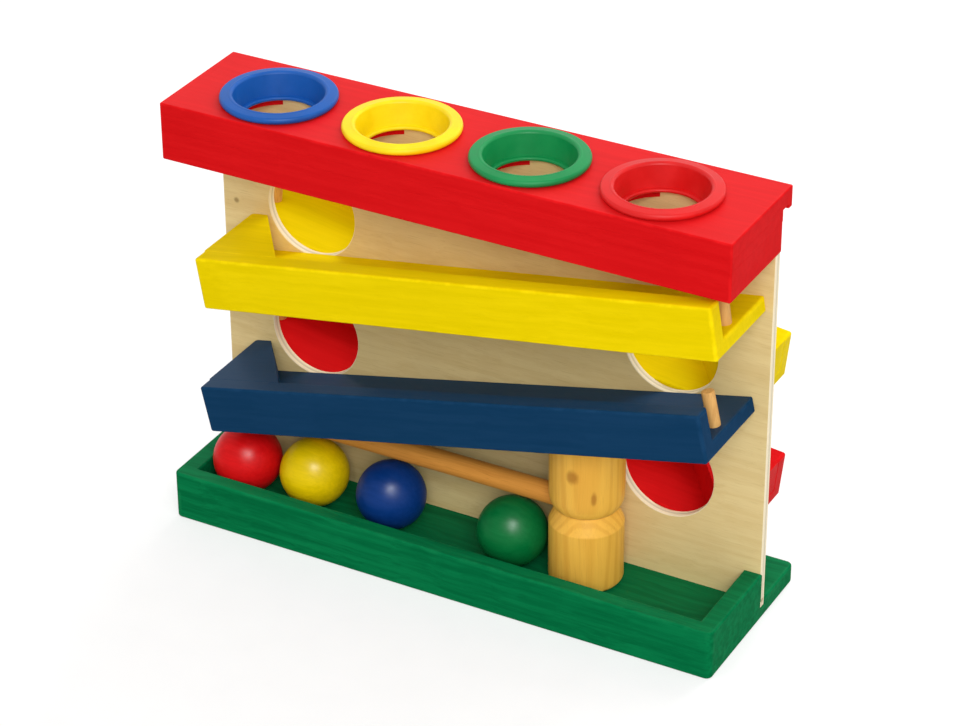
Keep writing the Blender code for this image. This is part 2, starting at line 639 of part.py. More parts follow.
def make_mallet():
    """Add the mallet: a turned head with a groove round its middle, and a handle in the groove."""
    frame = bpy.data.objects.new("mallet_frame", None)
    frame.location = [v * MM for v in (MALLET_X, MALLET_Y, MALLET_Z)]
    bpy.data.collections[TOY].objects.link(frame)

    half_groove = MALLET_GROOVE_WIDTH / 2
    waist = MALLET_HEAD_RADIUS - MALLET_GROOVE_DEPTH
    shoulder = MALLET_HEAD_RADIUS - MALLET_EDGE
    rim = arc((shoulder, MALLET_HALF - MALLET_EDGE), MALLET_EDGE, 90, 0)
    quarter = arc((0.0, 0.0), 1.0, 0, 90)
    groove = [(waist + MALLET_GROOVE_DEPTH * out, half_groove * (1.0 - up)) for out, up in quarter]
    upper = [(0.0, MALLET_HALF), *rim, *groove]
    lower = [(r, -z) for r, z in upper[-2::-1]]
    head = turned("mallet_head", upper + lower, (0.0, 0.0, 0.0), "amber_wood", parent=frame)

    bore = HANDLE_RADIUS + HOLE_CLEARANCE
    inner_end = HANDLE_BITE - MALLET_HEAD_RADIUS
    hole = rod_mesh(bore, -MALLET_HEAD_RADIUS - CUT_MARGIN, inner_end + HOLE_CLEARANCE, sides=2 * SMALL_SIDES)
    hole.transform(Matrix.Rotation(math.pi / 2, 4, "Y"))
    cut(head, place_cutter(hole, (0.0, 0.0, 0.0), frame))

    outer_end = MALLET_HEAD_RADIUS + HANDLE_REACH
    end_edge = arc((HANDLE_RADIUS - HANDLE_END_EDGE, outer_end - HANDLE_END_EDGE), HANDLE_END_EDGE, 90, 0)
    profile = [(0.0, outer_end), *end_edge, (HANDLE_RADIUS, -inner_end), (0.0, -inner_end)]
    at = (0.0, 0.0, 0.0)
    handle = turned("mallet_handle", profile, at, "pale_dowel", steps=2 * SMALL_SIDES, parent=frame)
    handle.rotation_euler = (0.0, -math.pi / 2, 0.0)


def main():
    """Build the toy."""
    for leftover in list(bpy.data.objects):
        bpy.data.objects.remove(leftover)
    new_collection(TOY)
    new_collection(CUTTERS)
    make_base()
    panel = make_panel()
    for track in TRACKS:
        make_track(panel, *track)
    make_top()
    make_rings()
    make_balls()
    make_mallet()


main()
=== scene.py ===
"""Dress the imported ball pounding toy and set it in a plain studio.

Shapes are worked out in millimetres in the frame of the CAD model and become metres when a piece is made:
+X runs along the toy, +Y from its front to its back and +Z up, with the origin under the base board.
"""

import json
import logging
import math
from dataclasses import dataclass
from enum import Enum
from typing import Any

import bmesh
import bpy
import numpy as np
from mathutils import Matrix, Vector
from mathutils.geometry import delaunay_2d_cdt
from numpy.typing import NDArray

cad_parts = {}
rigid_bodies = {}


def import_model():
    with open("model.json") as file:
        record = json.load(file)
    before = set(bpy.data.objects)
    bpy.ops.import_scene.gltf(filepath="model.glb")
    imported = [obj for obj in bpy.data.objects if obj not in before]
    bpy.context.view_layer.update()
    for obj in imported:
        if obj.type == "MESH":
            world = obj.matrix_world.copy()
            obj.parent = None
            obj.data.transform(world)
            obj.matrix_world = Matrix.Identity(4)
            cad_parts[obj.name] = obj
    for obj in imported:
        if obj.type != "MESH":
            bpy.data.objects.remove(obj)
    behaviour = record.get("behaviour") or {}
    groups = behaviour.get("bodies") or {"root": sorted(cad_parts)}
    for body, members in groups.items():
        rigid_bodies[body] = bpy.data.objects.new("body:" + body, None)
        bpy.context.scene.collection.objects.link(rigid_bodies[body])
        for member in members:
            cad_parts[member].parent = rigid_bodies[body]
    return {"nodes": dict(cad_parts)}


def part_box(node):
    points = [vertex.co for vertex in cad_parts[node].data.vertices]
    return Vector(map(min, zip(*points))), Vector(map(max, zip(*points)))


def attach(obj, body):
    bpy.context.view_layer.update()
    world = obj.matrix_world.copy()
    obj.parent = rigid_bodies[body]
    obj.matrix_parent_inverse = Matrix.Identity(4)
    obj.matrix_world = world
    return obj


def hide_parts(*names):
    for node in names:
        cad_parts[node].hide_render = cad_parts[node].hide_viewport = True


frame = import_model()
LOG = logging.getLogger("toy")
Array = NDArray[np.float64]
Spot = tuple[float, float]
Place = tuple[float, float, float]
Colour = tuple[float, float, float]
Shade = tuple[float, float, float, float]
Socket = bpy.types.NodeSocket
MM = 0.001
# Points nearer than WELD are one, and insets nearer than CLOSE are equal.
WELD = 1e-7
CLOSE = 1e-6
# SEAM parts slabs that lie on each other, and SQUARE is the rounding of an edge that looks sharp.
SEAM = 0.01
SQUARE = 0.12
CREASE = math.radians(38.0)
STAND = "stand"


class Side(Enum):
    """Side of the panel that a track is on, with the turn about Z that takes the track there."""

    FRONT = 0.0
    REAR = math.pi


class Grain(Enum):
    """Direction that wood fibres run in, as the order of axes that puts the fibre first."""

    ALONG_X = (0, 1, 2)
    ALONG_Z = (2, 0, 1)


class Glow(Enum):
    """Light that a lamp gives: whether it lights matt surfaces, and whether glossy ones mirror it."""

    DIFFUSE = (True, False)
    MIRRORED = (False, True)
    BOTH = (True, True)


# Surfaces


@dataclass
class Surface:
    """Points, faces and masks of closed surfaces: edge is 1 on rounded edges, side is 1 off the flat caps."""

    points: Array
    faces: list[list[int]]
    edge: Array
    side: Array

    def moved(self, matrix: Matrix) -> "Surface":
        """Return the surface under a change of frame.

        Args:
            matrix: A 4x4 matrix, lengths in millimetres.

        Returns:
            The same surface with its points moved.
        """
        full = np.array(matrix)
        return Surface(self.points @ full[:3, :3].T + full[:3, 3], self.faces, self.edge, self.side)


def joined(parts: list[Surface]) -> Surface:
    """Return several surfaces as one.

    Args:
        parts: The surfaces.

    Returns:
        One surface with all their points and faces.
    """
    starts = np.cumsum([0] + [len(part.points) for part in parts[:-1]])
    faces = [[point + start for point in face] for part, start in zip(parts, starts) for face in part.faces]
    keys = ("points", "edge", "side")
    points, edge, side = (np.concatenate([getattr(part, key) for part in parts]) for key in keys)
    return Surface(points, faces, edge, side)


def grid_faces(rows: int, columns: int, start: int = 0) -> list[list[int]]:
    """Return the quads of a grid whose columns close on themselves.

    Args:
        rows: Number of rows of points.
        columns: Number of points in a row.
        start: Number of the grid's first point.

    Returns:
        Four point numbers for each quad.
    """
    row = np.arange(rows - 1)[:, None] * columns
    column = np.arange(columns)[None, :]
    following = (column + 1) % columns
    corners = (row + column, row + following, row + columns + following, row + columns + column)
    return (np.stack(corners, axis=-1).reshape(-1, 4) + start).tolist()


@dataclass(frozen=True)
class Loop:
    """A closed outline with the material on its left.

    Each point has a mask that is 1 on rounded corners, its move for an inset of one, the sharp corner that it
    belongs to, that corner's move, and the inset at which the point meets the corner's line and stays on it.
    """

    points: Array
    edge: Array
    move: Array
    corner: Array
    corner_move: Array
    limit: Array

    def moves(self, distances: Array) -> Array:
        """Return how each point moves when the outline shrinks.

        Args:
            distances: How far the edges go inwards, for each row.

        Returns:
            The moves, by row and point.
        """
        inset = distances[:, None, None]
        merged = self.corner - self.points + inset * self.corner_move
        return np.where(inset < self.limit[:, None], inset * self.move, merged)


def rounded_loop(corners: list[Spot], radii: list[float], wear: float, steps: int = 5) -> Loop:
    """Return a polygon with rounded corners, and with a point on each side of a corner to end its wear.

    Args:
        corners: The polygon's corners, anticlockwise.
        radii: Rounding of each corner; 0 keeps it sharp.
        wear: Distance from a rounding to the point that ends its wear.
        steps: Number of chords in each rounding.

    Returns:
        The outline.
    """
    parts: list[tuple[Array, ...]] = []
    places = np.array(corners, dtype=float)
    for here, before, after, radius in zip(places, np.roll(places, 1, 0), np.roll(places, -1, 0), radii):
        back = (before - here) / np.linalg.norm(before - here)
        on = (after - here) / np.linalg.norm(after - here)
        half = math.acos(float(np.clip(back @ on, -1.0, 1.0))) / 2.0
        inwards = (back + on) / np.linalg.norm(back + on) / math.sin(half)
        turned = 1.0 if back[0] * on[1] < back[1] * on[0] else -1.0
        found, mark, move, limit = here[None], np.zeros(1), turned * inwards[None], np.zeros(1)
        if radius > 0.0:
            reach = radius / math.tan(half)
            centre = here + inwards * radius
            first = here + back * reach - centre
            last = here + on * reach - centre
            start = math.atan2(first[1], first[0])
            sweep = (math.atan2(last[1], last[0]) - start + math.pi) % (2.0 * math.pi) - math.pi
            turn = start + sweep * np.linspace(0.0, 1.0, steps + 1)
            spoke = np.stack([np.cos(turn), np.sin(turn)], axis=1)
            ends = here + np.array([back, on]) * (reach + wear)
            found = np.concatenate([ends[:1], centre + radius * spoke, ends[1:]])
            arc = np.concatenate([[False], np.ones(steps + 1, dtype=bool), [False]])
            mark = arc * float(radius > SQUARE)
            move = np.concatenate([[(back[1], -back[0])], -turned * spoke, [(-on[1], on[0])]])
            limit = np.where(arc, radius, (reach + wear) * math.tan(half)) - CLOSE
        limit = limit if turned > 0.0 else np.full(len(limit), np.inf)
        same = np.ones_like(found)
        parts.append((found, mark, move, here * same, inwards * same, limit))
    return Loop(*map(np.concatenate, zip(*parts)))


def hole_loop(centre: Spot, radius: float, steps: int = 96) -> Loop:
    """Return a round hole's outline, clockwise so that the material is on its left.

    Args:
        centre: The hole's centre.
        radius: The hole's radius.
        steps: Number of chords.

    Returns:
        The outline.
    """
    turn = -np.arange(steps) * 2.0 * math.pi / steps
    spoke = np.stack([np.cos(turn), np.sin(turn)], axis=1)
    points = np.array(centre) + radius * spoke
    return Loop(points, np.zeros(steps), spoke, points, spoke, np.full(steps, np.inf))


@dataclass(frozen=True)
class Section:
    """Rows from a slab's low cap to its high cap: inset, height and masks."""

    inset: Array
    height: Array
    edge: Array
    side: Array


def section(thickness: float, low: float, high: float, wear: float, steps: int = 5) -> Section:
    """Return the rows of a slab with a rounding of its own at each cap.

    A rounding r is inset r(1 - sin a) at height r(1 - cos a), with a from 0 to 90 degrees.

    Args:
        thickness: Height of the slab.
        low: Rounding at the low cap.
        high: Rounding at the high cap.
        wear: Distance from a rounding to where its wear ends.
        steps: Number of chords in each rounding.

    Returns:
        The rows.
    """
    turn = np.linspace(0.0, math.pi / 2.0, steps + 1)
    none = np.zeros(steps + 1)
    low_inset = low * (1.0 - np.sin(turn))
    high_inset = high * (1.0 - np.cos(turn))
    between = [low + wear, thickness - high - wear]
    low_height = low * (1.0 - np.cos(turn))
    high_height = thickness - high * (1.0 - np.sin(turn))
    edge = [[0.0], none + (low > SQUARE), [0.0, 0.0], none + (high > SQUARE), [0.0]]
    side = [[0.0, 0.0], np.ones(2 * steps + 2), [0.0, 0.0]]
    return Section(
        np.concatenate([[low + wear], low_inset, [0.0, 0.0], high_inset, [high + wear]]),
        np.concatenate([[0.0], low_height, between, high_height, [thickness]]),
        np.concatenate(edge),
        np.concatenate(side),
    )


def fill(loops: list[Array]) -> list[list[int]]:
    """Return triangles that fill the space between closed outlines.

    A triangle is kept if a ray from its middle crosses the outlines an odd number of times.

    Args:
        loops: Points of each outline.

    Returns:
        Three point numbers for each triangle, counted through all outlines.
    """
    flat = np.concatenate(loops)
    sizes = np.array([len(loop) for loop in loops])
    starts = np.repeat(np.cumsum(sizes) - sizes, sizes)
    counts = np.repeat(sizes, sizes)
    ids = np.arange(len(flat))
    following = starts + (ids - starts + 1) % counts
    edges = np.stack([ids, following], axis=1).tolist()
    _, _, found, origin, _, _ = delaunay_2d_cdt(list(map(Vector, flat.tolist())), edges, [], 1, WELD)
    source = np.array([first[0] for first in origin])
    triangles = source[np.array(found)]
    middle = flat[triangles].mean(axis=1)
    a, b = flat[None], flat[following][None]
    x, y = middle[:, :1], middle[:, 1:]
    spans = (a[..., 1] > y) != (b[..., 1] > y)
    rise = np.where(b[..., 1] == a[..., 1], 1.0, b[..., 1] - a[..., 1])
    crossing = a[..., 0] + (y - a[..., 1]) * (b[..., 0] - a[..., 0]) / rise
    inside = np.sum(spans & (x < crossing), axis=1) % 2 == 1
    return triangles[inside].tolist()


def slab(loops: list[Loop], rows: Section) -> Surface:
    """Return a slab over outlines in x and y: P(u, v) = outline(u) + moves(u, inset(v)), z = height(v).

    Args:
        loops: The outer outline and the holes.
        rows: The slab's rows, low cap first.

    Returns:
        The closed surface.
    """
    points: list[Array] = []
    faces: list[list[int]] = []
    edge: list[Array] = []
    side: list[Array] = []
    low_ids: list[Array] = []
    high_ids: list[Array] = []
    count = len(rows.height)
    start = 0
    for loop in loops:
        flat = loop.points + loop.moves(rows.inset)
        height = np.broadcast_to(rows.height[:, None, None], (count, len(loop.points), 1))
        points.append(np.concatenate([flat, height], axis=2).reshape(-1, 3))
        faces += grid_faces(count, len(loop.points), start)
        edge.append(np.maximum(rows.edge[:, None], rows.side[:, None] * loop.edge).ravel())
        side.append(np.broadcast_to(rows.side[:, None], (count, len(loop.points))).ravel())
        low_ids.append(start + np.arange(len(loop.points)))
        high_ids.append(low_ids[-1] + (count - 1) * len(loop.points))
        start += count * len(loop.points)
    all_points = np.concatenate(points)
    for ids in (low_ids, high_ids):
        names = np.concatenate(ids)
        triangles = fill([all_points[loop_ids, :2] for loop_ids in ids])
        faces += names[np.array(triangles)].tolist()
    return Surface(all_points, faces, np.concatenate(edge), np.concatenate(side))


def plank(
    x: Spot, y: Spot, z: Spot, radii: list[float], caps: Spot, wear: float, holes: list[Loop] | None = None
) -> Surface:
    """Return a level board with rounded corners and a rounding of its own at each cap.

    Args:
        x: Left and right ends.
        y: Front and back.
        z: Underside and top.
        radii: Rounding of the corners, anticlockwise from the front's left.
        caps: Rounding at the underside and at the top.
        wear: Distance from a rounding to where its wear ends.
        holes: Outlines of the holes.

    Returns:
        The closed surface.
    """
    corners = [(x[0], y[0]), (x[1], y[0]), (x[1], y[1]), (x[0], y[1])]
    board = slab([rounded_loop(corners, radii, wear), *(holes or [])], section(z[1] - z[0], *caps, wear))
    return board.moved(Matrix.Translation((0.0, 0.0, z[0])))


def lathe(profile: Array, steps: int, closed: bool = False) -> Surface:
    """Return a turned surface: P(u, v) = (r(v) cos u, r(v) sin u, z(v)).

    Args:
        profile: Radius and height of each row.
        steps: Number of points round the axis.
        closed: Whether the last row joins the first.

    Returns:
        The closed surface.
    """
    rows = np.concatenate([profile, profile[:1]]) if closed else profile
    turn = np.arange(steps) * 2.0 * math.pi / steps
    x = rows[:, :1] * np.cos(turn)
    y = rows[:, :1] * np.sin(turn)
    z = np.broadcast_to(rows[:, 1:], x.shape)
    points = np.stack([x, y, z], axis=2).reshape(-1, 3)
    mask = np.zeros(len(points))
    return Surface(points, grid_faces(len(rows), steps), mask, mask)


def arc_points(centre: Spot, radius: float, start: float, end: float, steps: int = 10) -> Array:
    """Return an arc of a turned profile.

    Args:
        centre: Radius and height of the arc's centre.
        radius: The arc's radius.
        start: First angle in degrees, 0 outwards and 90 up.
        end: Last angle in degrees.
        steps: Number of chords.

    Returns:
        Radius and height of each point.
    """
    turn = np.radians(np.linspace(start, end, steps + 1))
    return np.array(centre) + radius * np.stack([np.cos(turn), np.sin(turn)], axis=1)


def box_of(node: str) -> tuple[Array, Array]:
    """Return the low and the high corner of a CAD node's box.

    Args:
        node: The node's name.

    Returns:
        Both corners in millimetres.
    """
    low, high = (np.array(corner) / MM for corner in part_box(node))
    return low, high


def middle_and_size(node: str) -> tuple[Array, Array]:
    """Return the middle and the size of a CAD node's box.

    Args:
        node: The node's name.

    Returns:
        Middle and size in millimetres.
    """
    low, high = box_of(node)
    return (low + high) / 2.0, high - low


def rail_outline(rails: list[str], past: float = 0.0) -> list[Spot]:
    """Return the outline, seen from above, of a front rail with a rail at its left and right ends.

    Args:
        rails: CAD nodes of the front, left and right rails.
        past: How far the outline goes past the end rails' backs.

    Returns:
        Eight corners, anticlockwise from the front's left.
    """
    low, high = box_of(rails[0])
    left, right = box_of(rails[1])[1], box_of(rails[2])[0]
    back = left[1] + past
    outside = [(low[0], low[1]), (high[0], low[1]), (high[0], back)]
    inside = [(right[0], back), (right[0], high[1]), (left[0], high[1]), (left[0], back)]
    return [*outside, *inside, (low[0], back)]


def make_piece(
    name: str, surface: Surface, material: bpy.types.Material, nodes: list[str], body: str = STAND
) -> None:
    """Add a piece that stands for CAD nodes.

    Args:
        name: The piece's name.
        surface: Its surface in millimetres.
        material: Its material.
        nodes: The CAD nodes that it replaces.
        body: The CAD body that it rides on.
    """
    mesh = bpy.data.meshes.new(name)
    mesh.from_pydata((surface.points * MM).tolist(), [], surface.faces)
    for mask, values in (("edge", surface.edge), ("side", surface.side)):
        layer = mesh.attributes.new(mask, "FLOAT", "POINT")
        layer.data.foreach_set("value", np.ascontiguousarray(values, dtype=np.float32))
    work = bmesh.new()
    work.from_mesh(mesh)
    bmesh.ops.remove_doubles(work, verts=work.verts, dist=WELD)
    bmesh.ops.recalc_face_normals(work, faces=work.faces)
    work.to_mesh(mesh)
    work.free()
    mesh.shade_smooth()
    mesh.set_sharp_from_angle(angle=CREASE)
    mesh.materials.append(material)
    piece = bpy.data.objects.new(name, mesh)
    bpy.context.scene.collection.objects.link(piece)
    normals = piece.modifiers.new("face_normals", "WEIGHTED_NORMAL")
    normals.keep_sharp = True
    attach(piece, body)
    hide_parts(*nodes)
    LOG.info("%s for %s: %d faces", name, ", ".join(nodes), len(mesh.polygons))


# Materials


def linear(red: int, green: int, blue: int) -> Colour:
    """Return a display colour as linear light.

    Args:
        red: Red from 0 to 255.
        green: Green from 0 to 255.
        blue: Blue from 0 to 255.

    Returns:
        Linear red, green and blue.
    """
    share = np.array([red, green, blue]) / 255.0
    light = np.where(share <= 0.04045, share / 12.92, ((share + 0.055) / 1.055) ** 2.4)
    return tuple(light.tolist())


def shade(colour: Colour, factor: float = 1.0, lift: float = 0.0) -> Shade:
    """Return a colour made darker or lighter.

    Args:
        colour: Linear colour.
        factor: What it is multiplied by.
        lift: What is added to each channel.

    Returns:
        Linear colour with alpha.
    """
    return (*(min(1.0, channel * factor + lift) for channel in colour), 1.0)


@dataclass
class Graph:
    """Short forms for adding nodes to a node tree."""

    tree: bpy.types.NodeTree

    def add(self, kind: str, inputs: dict[Any, Any] | None = None, **settings: Any) -> bpy.types.Node:
        """Add a node, set it up and link its inputs.

        Args:
            kind: The node's type.
            inputs: Values or sockets by input name or number.
            settings: Other properties of the node.

        Returns:
            The new node.
        """
        node = self.tree.nodes.new(kind)
        for key, value in settings.items():
            setattr(node, key, value)
        for key, value in (inputs or {}).items():
            if isinstance(value, Socket):
                self.tree.links.new(value, node.inputs[key])
            else:
                node.inputs[key].default_value = value
        return node

    def math(self, operation: str, first: Any, second: Any = 0.0) -> Socket:
        """Add a sum on one or two values.

        Args:
            operation: The Math node's operation.
            first: Value or socket.
            second: Value or socket.

        Returns:
            The result's socket.
        """
        return self.add("ShaderNodeMath", {0: first, 1: second}, operation=operation).outputs[0]

    def vector(self, operation: str, first: Any, second: Any = (0.0, 0.0, 0.0)) -> Socket:
        """Add a sum on one or two vectors.

        Args:
            operation: The Vector Math node's operation.
            first: Vector or socket.
            second: Vector or socket.

        Returns:
            The result's socket, a number for a length.
        """
        node = self.add("ShaderNodeVectorMath", {0: first, 1: second}, operation=operation)
        return node.outputs["Value" if operation == "LENGTH" else "Vector"]

    def mix(self, factor: Any, first: Any, second: Any) -> Socket:
        """Add a mix of two colours.

        Args:
            factor: Value or socket, 0 for the first colour.
            first: Colour or socket.
            second: Colour or socket.

        Returns:
            The mixed colour's socket.
        """
        return self.add("ShaderNodeMix", {0: factor, 6: first, 7: second}, data_type="RGBA").outputs[2]

    def tint(self, mask: Socket, strength: float, first: Any, second: Any) -> Socket:
        """Add a mix of two colours by a part of a mask.

        Args:
            mask: Socket, 0 for the first colour.
            strength: Share of the second colour where the mask is 1.
            first: Colour or socket.
            second: Colour or socket.

        Returns:
            The mixed colour's socket.
        """
        return self.mix(self.math("MULTIPLY", mask, strength), first, second)

    def span(self, value: Any, start: float, end: float, low: float = 0.0, high: float = 1.0) -> Socket:
        """Add a smooth map of a value from one range to another.

        Args:
            value: Socket.
            start: Value that gives low.
            end: Value that gives high.
            low: First result.
            high: Last result.

        Returns:
            The result's socket.
        """
        numbers = {0: value, 1: start, 2: end, 3: low, 4: high}
        return self.add("ShaderNodeMapRange", numbers, interpolation_type="SMOOTHSTEP").outputs[0]

    def noise(self, vector: Any, scale: float, detail: float = 3.0, rough: float = 0.55) -> Socket:
        """Add a noise texture.

        Args:
            vector: Socket with the place.
            scale: Cycles in a unit.
            detail: Number of finer layers.
            rough: Strength of the finer layers.

        Returns:
            The noise's socket.
        """
        inputs = {"Vector": vector, "Scale": scale, "Detail": detail, "Roughness": rough}
        return self.add("ShaderNodeTexNoise", inputs).outputs[0]

    def bump(self, height: Socket, strength: float, depth: float = 0.0001, invert: bool = False) -> Socket:
        """Add a bump.

        Args:
            height: Socket with the relief.
            strength: Strength of the bump.
            depth: Depth of the relief in metres.
            invert: Whether high values go in.

        Returns:
            The normal's socket.
        """
        inputs = {"Strength": strength, "Distance": depth, "Height": height}
        return self.add("ShaderNodeBump", inputs, invert=invert).outputs[0]

    def dress(
        self, shader: bpy.types.Node, colour: Socket, rough: Socket, normal: Socket, shine: float
    ) -> None:
        """Link a colour, a roughness and a normal to a shader and set how much it mirrors.

        Args:
            shader: The material's Principled BSDF.
            colour: Socket for its base colour.
            rough: Socket for its roughness.
            normal: Socket for its normal.
            shine: Its specular level.
        """
        for name, socket in (("Base Color", colour), ("Roughness", rough), ("Normal", normal)):
            self.tree.links.new(socket, shader.inputs[name])
        shader.inputs["Specular IOR Level"].default_value = shine


def new_group(name: str, inputs: list[str], outputs: list[str]) -> tuple[bpy.types.NodeTree, Graph, Any, Any]:
    """Start a shader node group.

    Args:
        name: The group's name.
        inputs: Input names; Vector is a vector and the others are numbers.
        outputs: Names of the numbers that it gives.

    Returns:
        The group, its graph, and its input and output nodes.
    """
    tree = bpy.data.node_groups.new(name, "ShaderNodeTree")
    for label in inputs:
        kind = "NodeSocketVector" if label == "Vector" else "NodeSocketFloat"
        tree.interface.new_socket(label, in_out="INPUT", socket_type=kind)
    for label in outputs:
        tree.interface.new_socket(label, in_out="OUTPUT", socket_type="NodeSocketFloat")
    graph = Graph(tree)
    return tree, graph, graph.add("NodeGroupInput"), graph.add("NodeGroupOutput")


def fibre_group() -> bpy.types.NodeTree:
    """Return the group that gives wood fibres along its vector's first axis: streaks, pores and blotches."""
    found = bpy.data.node_groups.get("wood_fibre")
    if found:
        return found
    inputs, outputs = ["Vector", "Along", "Across"], ["Streak", "Pore", "Blotch"]
    tree, graph, given, out = new_group("wood_fibre", inputs, outputs)
    place, along, across = (given.outputs[label] for label in inputs)
    stretch = graph.add("ShaderNodeCombineXYZ", {0: along, 1: across, 2: across}).outputs[0]
    drift = graph.noise(place, 22.0, 2.0)
    offset = graph.add("ShaderNodeCombineXYZ", {1: graph.math("MULTIPLY", drift, 3.0), 2: drift}).outputs[0]
    wavy = graph.vector("ADD", graph.vector("MULTIPLY", place, stretch), offset)
    fine = graph.vector("MULTIPLY", wavy, (2.6, 3.4, 3.4))
    tree.links.new(graph.span(graph.noise(wavy, 1.0, 4.0, 0.6), 0.3, 0.7), out.inputs["Streak"])
    tree.links.new(graph.span(graph.noise(fine, 1.0, 2.0, 0.5), 0.56, 0.7), out.inputs["Pore"])
    tree.links.new(graph.span(graph.noise(place, 16.0, 3.0), 0.32, 0.68), out.inputs["Blotch"])
    return tree


def wear_and_sheen_group() -> bpy.types.NodeTree:
    """Return the group for rounded edges' patchy wear and painted highlight, and the mask of the sides."""
    found = bpy.data.node_groups.get("edge_wear_and_sheen")
    if found:
        return found
    tree, graph, given, out = new_group("edge_wear_and_sheen", ["Vector"], ["Wear", "Side"])
    edge = graph.add("ShaderNodeAttribute", attribute_name="edge").outputs["Fac"]
    side = graph.add("ShaderNodeAttribute", attribute_name="side").outputs["Fac"]
    patches = graph.span(graph.noise(given.outputs["Vector"], 90.0, 4.0, 0.6), 0.4, 0.66)
    tree.links.new(graph.math("MULTIPLY", graph.span(edge, 0.35, 1.0), patches), out.inputs["Wear"])
    tree.links.new(side, out.inputs["Side"])
    return tree


@dataclass(frozen=True)
class Finish:
    """A material: its name, its colour, how rough it is and how its fibres lie."""

    name: str
    colour: Colour
    roughness: float = 0.45
    grain: Grain = Grain.ALONG_X
    slope: float = 0.0

    def material(self) -> bpy.types.Material:
        """Return the finish as a material, made on first use under a name that no CAD material has."""
        label = f"dressed_{self.name}"
        found = bpy.data.materials.get(label)
        if found:
            return found
        made = bpy.data.materials.new(label)
        made.use_nodes = True
        self.draw(Graph(made.node_tree), made.node_tree.nodes["Principled BSDF"])
        return made

    def place(self, graph: Graph) -> Socket:
        """Add the place on the object, turned so that the fibres run along the first axis.

        Args:
            graph: The material's graph.

        Returns:
            Socket with the place in metres.
        """
        where = graph.add("ShaderNodeTexCoord").outputs["Object"]
        if self.slope:
            turn = {"Vector": where, "Angle": self.slope}
            where = graph.add("ShaderNodeVectorRotate", turn, rotation_type="Y_AXIS").outputs[0]
        if self.grain is Grain.ALONG_X:
            return where
        parts = graph.add("ShaderNodeSeparateXYZ", {0: where}).outputs
        order = {number: parts[axis] for number, axis in enumerate(self.grain.value)}
        return graph.add("ShaderNodeCombineXYZ", order).outputs[0]

    def fibres(self, graph: Graph, along: float, across: float) -> Any:
        """Add wood fibres.

        Args:
            graph: The material's graph.
            along: Cycles in a metre along the fibres.
            across: Cycles in a metre across them.

        Returns:
            The outputs of the fibre group.
        """
        inputs = {"Vector": self.place(graph), "Along": along, "Across": across}
        return graph.add("ShaderNodeGroup", inputs, node_tree=fibre_group()).outputs

    def wear(self, graph: Graph) -> Any:
        """Add the edge mask for wear and a painted edge highlight.

        Args:
            graph: The material's graph.

        Returns:
            The outputs of the wear group.
        """
        return graph.add("ShaderNodeGroup", {"Vector": self.place(graph)}, node_tree=wear_and_sheen_group()).outputs

    def uneven(self, graph: Graph, mask: Socket, less: float, more: float) -> Socket:
        """Add a roughness that varies with a mask.

        Args:
            graph: The material's graph.
            mask: Socket from 0 to 1.
            less: How far the roughness goes down where the mask is 0.
            more: How far it goes up where the mask is 1.

        Returns:
            The roughness's socket.
        """
        return graph.span(mask, 0.0, 1.0, self.roughness - less, self.roughness + more)

    def draw(self, graph: Graph, shader: bpy.types.Node) -> None:
        """Draw the material's nodes.

        Args:
            graph: The material's graph.
            shader: Its Principled BSDF.
        """
        raise NotImplementedError


@dataclass(frozen=True)
class PaintedWood(Finish):
    """Brushed paint that lets the wood's fibres show, worn lighter on the edges with a painted highlight
    there, and glossy on faces that look up.
    """

    streaks: float = 0.07
    # Lift of the lighter edge colour: paint worn thin, and a painted highlight along the rounded edges.
    thin: float = 0.006
    shine: float = 0.01
    gloss: float = 0.0

    def draw(self, graph: Graph, shader: bpy.types.Node) -> None:
        """Draw streaked paint with worn edges that also carry a painted highlight.

        Args:
            graph: The material's graph.
            shader: Its Principled BSDF.
        """
        fibre = self.fibres(graph, 9.0, 240.0)
        dark, light = shade(self.colour, 1.0 - self.streaks), shade(self.colour, 1.0 + self.streaks, 0.002)
        paint = graph.mix(fibre["Streak"], dark, light)
        paint = graph.tint(fibre["Pore"], self.streaks * 2.0, paint, shade(self.colour, 0.7))
        paint = graph.tint(fibre["Blotch"], 0.3, paint, shade(self.colour, 0.88))
        # Lighter patches on rounded edges: worn paint, and a painted highlight along the edges.
        paint = graph.tint(self.wear(graph)["Wear"], 0.5, paint, shade(self.colour, 1.22, self.thin))
        rough = self.uneven(graph, fibre["Blotch"], 0.05, 0.07)
        height = graph.math("SUBTRACT", graph.math("MULTIPLY", fibre["Streak"], 0.5), fibre["Pore"])
        graph.dress(shader, paint, rough, graph.bump(height, 0.3), self.shine)
        if self.gloss:
            facing = graph.add("ShaderNodeNewGeometry").outputs["Normal"]
            up = graph.add("ShaderNodeSeparateXYZ", {0: facing}).outputs[2]
            polish = graph.span(up, 0.8, 0.95, 0.0, self.gloss)
            graph.tree.links.new(polish, shader.inputs["Coat Weight"])
            shader.inputs["Coat Roughness"].default_value = self.roughness


